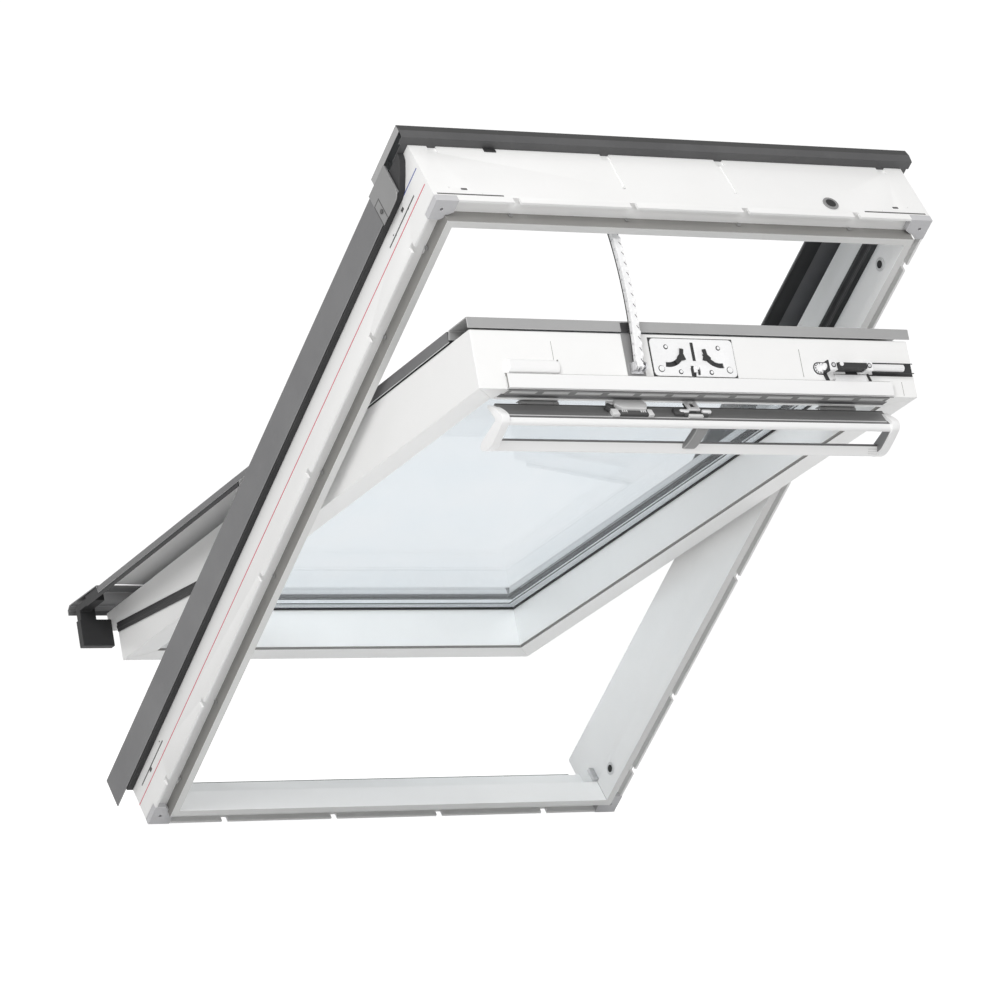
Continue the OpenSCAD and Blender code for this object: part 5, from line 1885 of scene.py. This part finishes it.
@dataclass
class Studio:
    """Floor, soft lights and the camera.

    Attributes:
        aim: Point that camera and lights look at.
        distance: Distance of the camera, in metres.
        azimuth: Its angle round the window, in degrees.
        elevation: Its angle above the floor, in degrees.
        roll: Its roll, in degrees.
        lens: Its focal length, in millimetres, on a sensor of full width.
        sensor: Width of the sensor, in millimetres.
        far: How far the camera sees, in metres.
        lamps: The lights.
        shown: Strength of the surroundings as they show.
        fill: Strength of the surroundings as they light.
        fill_colour: Colour of that light.
        glow: How much the floor shines where it shows.
        floor_tones: The floor's two tones.
        floor_gap: Gap between window and floor, in metres.
        floor_size: Side of the floor, in metres.
    """

    aim: tuple[float, float, float] = (-0.0559, 0.0, 0.0468)
    distance: float = 7.211
    azimuth: float = -30.47
    elevation: float = -1.17
    roll: float = -0.19
    lens: float = 187.087
    sensor: float = 36.0
    far: float = 200.0
    lamps: tuple[Lamp, ...] = (Lamp("key", (-4.2, -3.4, 3.8), 2.6, 205),
                               Lamp("front", (-1.0, -6.0, 2.4), 3.0, 100))
    shown: float = 1.05
    fill: float = 0.35
    fill_colour: Colour = (1.0, 0.99, 0.98, 1)
    glow: float = 0.75
    floor_tones: Span = (0.66, 0.70)
    floor_gap: float = 0.004
    floor_size: float = 60.0

    def facing(self, place: Vector) -> Matrix:
        """Turns what stands at a place to the aim."""
        turn = (Vector(self.aim) - place).to_track_quat("-Z", "Y").to_matrix().to_4x4()
        return Matrix.Translation(place) @ turn

    def camera(self) -> None:
        """Sets the camera."""
        turn, rise = math.radians(self.azimuth), math.radians(self.elevation)
        back = Vector((math.sin(turn) * math.cos(rise), -math.cos(turn) * math.cos(rise), math.sin(rise)))
        data = bpy.data.cameras.new("camera")
        data.lens = self.lens
        data.sensor_width = self.sensor
        data.clip_end = self.far
        camera = bpy.data.objects.new("camera", data)
        roll = Matrix.Rotation(math.radians(self.roll), 4, "Z")
        camera.matrix_world = self.facing(Vector(self.aim) + back * self.distance) @ roll
        bpy.context.scene.collection.objects.link(camera)
        bpy.context.scene.camera = camera

    def light(self, lamp: Lamp) -> None:
        """Adds an area light.

        Args:
            lamp: The light.
        """
        data = bpy.data.lights.new(lamp.name, "AREA")
        data.shape = "SQUARE"
        data.size = lamp.size
        data.energy = lamp.power
        made = bpy.data.objects.new(lamp.name, data)
        made.matrix_world = self.facing(Vector(lamp.place))
        bpy.context.scene.collection.objects.link(made)

    def world(self) -> None:
        """Makes white surroundings that light less than they show."""
        world = bpy.data.worlds.new("studio")
        world.use_nodes = True
        bpy.context.scene.world = world
        wire = Sockets(world.node_tree)
        shown = world.node_tree.nodes["Background"]
        shown.inputs["Color"].default_value = (1, 1, 1, 1)
        shown.inputs["Strength"].default_value = self.shown
        fill = wire.add("ShaderNodeBackground", Color=self.fill_colour, Strength=self.fill)
        wire.split_rays("Is Diffuse Ray", fill.outputs["Background"], shown.outputs["Background"])

    def floor(self, lowest: float) -> None:
        """Adds a plain pale floor just under the window.

        Args:
            lowest: Height of the window's lowest point, in metres.
        """
        material, wire, shader = new_material("studio_floor")
        paper = wire.add("ShaderNodeTexNoise", Scale=3.0, Detail=2.0)
        tone = wire.add("ShaderNodeMix", data_type="RGBA")
        for label, level in zip("AB", self.floor_tones):
            tone.inputs[label].default_value = grey(level)
        wire.join(paper.outputs["Fac"], tone.inputs["Factor"])
        wire.join(tone.outputs["Result"], shader.inputs["Base Color"])
        shader.inputs["Roughness"].default_value = 0.9
        glow = wire.add("ShaderNodeEmission", Strength=self.glow)
        lit = wire.add("ShaderNodeAddShader")
        wire.join(shader.outputs["BSDF"], lit.inputs[0])
        wire.join(glow.outputs["Emission"], lit.inputs[1])
        wire.split_rays("Is Diffuse Ray", shader.outputs["BSDF"], lit.outputs["Shader"])
        part = bmesh.new()
        bmesh.ops.create_grid(part, x_segments=1, y_segments=1, size=self.floor_size / 2,
                              matrix=Matrix.Translation((0, 0, lowest - self.floor_gap)))
        data = bpy.data.meshes.new("floor")
        part.to_mesh(data)
        part.free()
        data.materials.append(material)
        ground = bpy.data.objects.new("floor", data)
        bpy.context.scene.collection.objects.link(ground)
        ground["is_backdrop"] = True

    def build(self, lowest: float) -> None:
        """Sets up the whole studio.

        Args:
            lowest: Height of the window's lowest point, in metres.
        """
        self.world()
        self.floor(lowest)
        for lamp in self.lamps:
            self.light(lamp)
        self.camera()
        bpy.context.scene.view_settings.view_transform = "Standard"


def main(frame: dict, cad_box: tuple) -> None:
    """Builds every sub-assembly and the studio.

    Args:
        cad_box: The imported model's box.
    """
    logging.basicConfig(level=logging.INFO, format="%(message)s")
    shop = Workshop.of(frame)
    sizes = Sizes.of(shop)
    CarriedNodes(shop).build()
    for part in (Rails, PrintedMarks, FrameFittings, GlassEdge, ScissorChain, LockPlate, TopFittings,
                 ControlBar, BarrelBolt):
        part(shop, sizes).build()
    Studio().build(cad_box[0][2])
    LOG.info("%d pieces", shop.count)


if __name__ == "__main__":
    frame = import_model()
    main(frame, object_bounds())
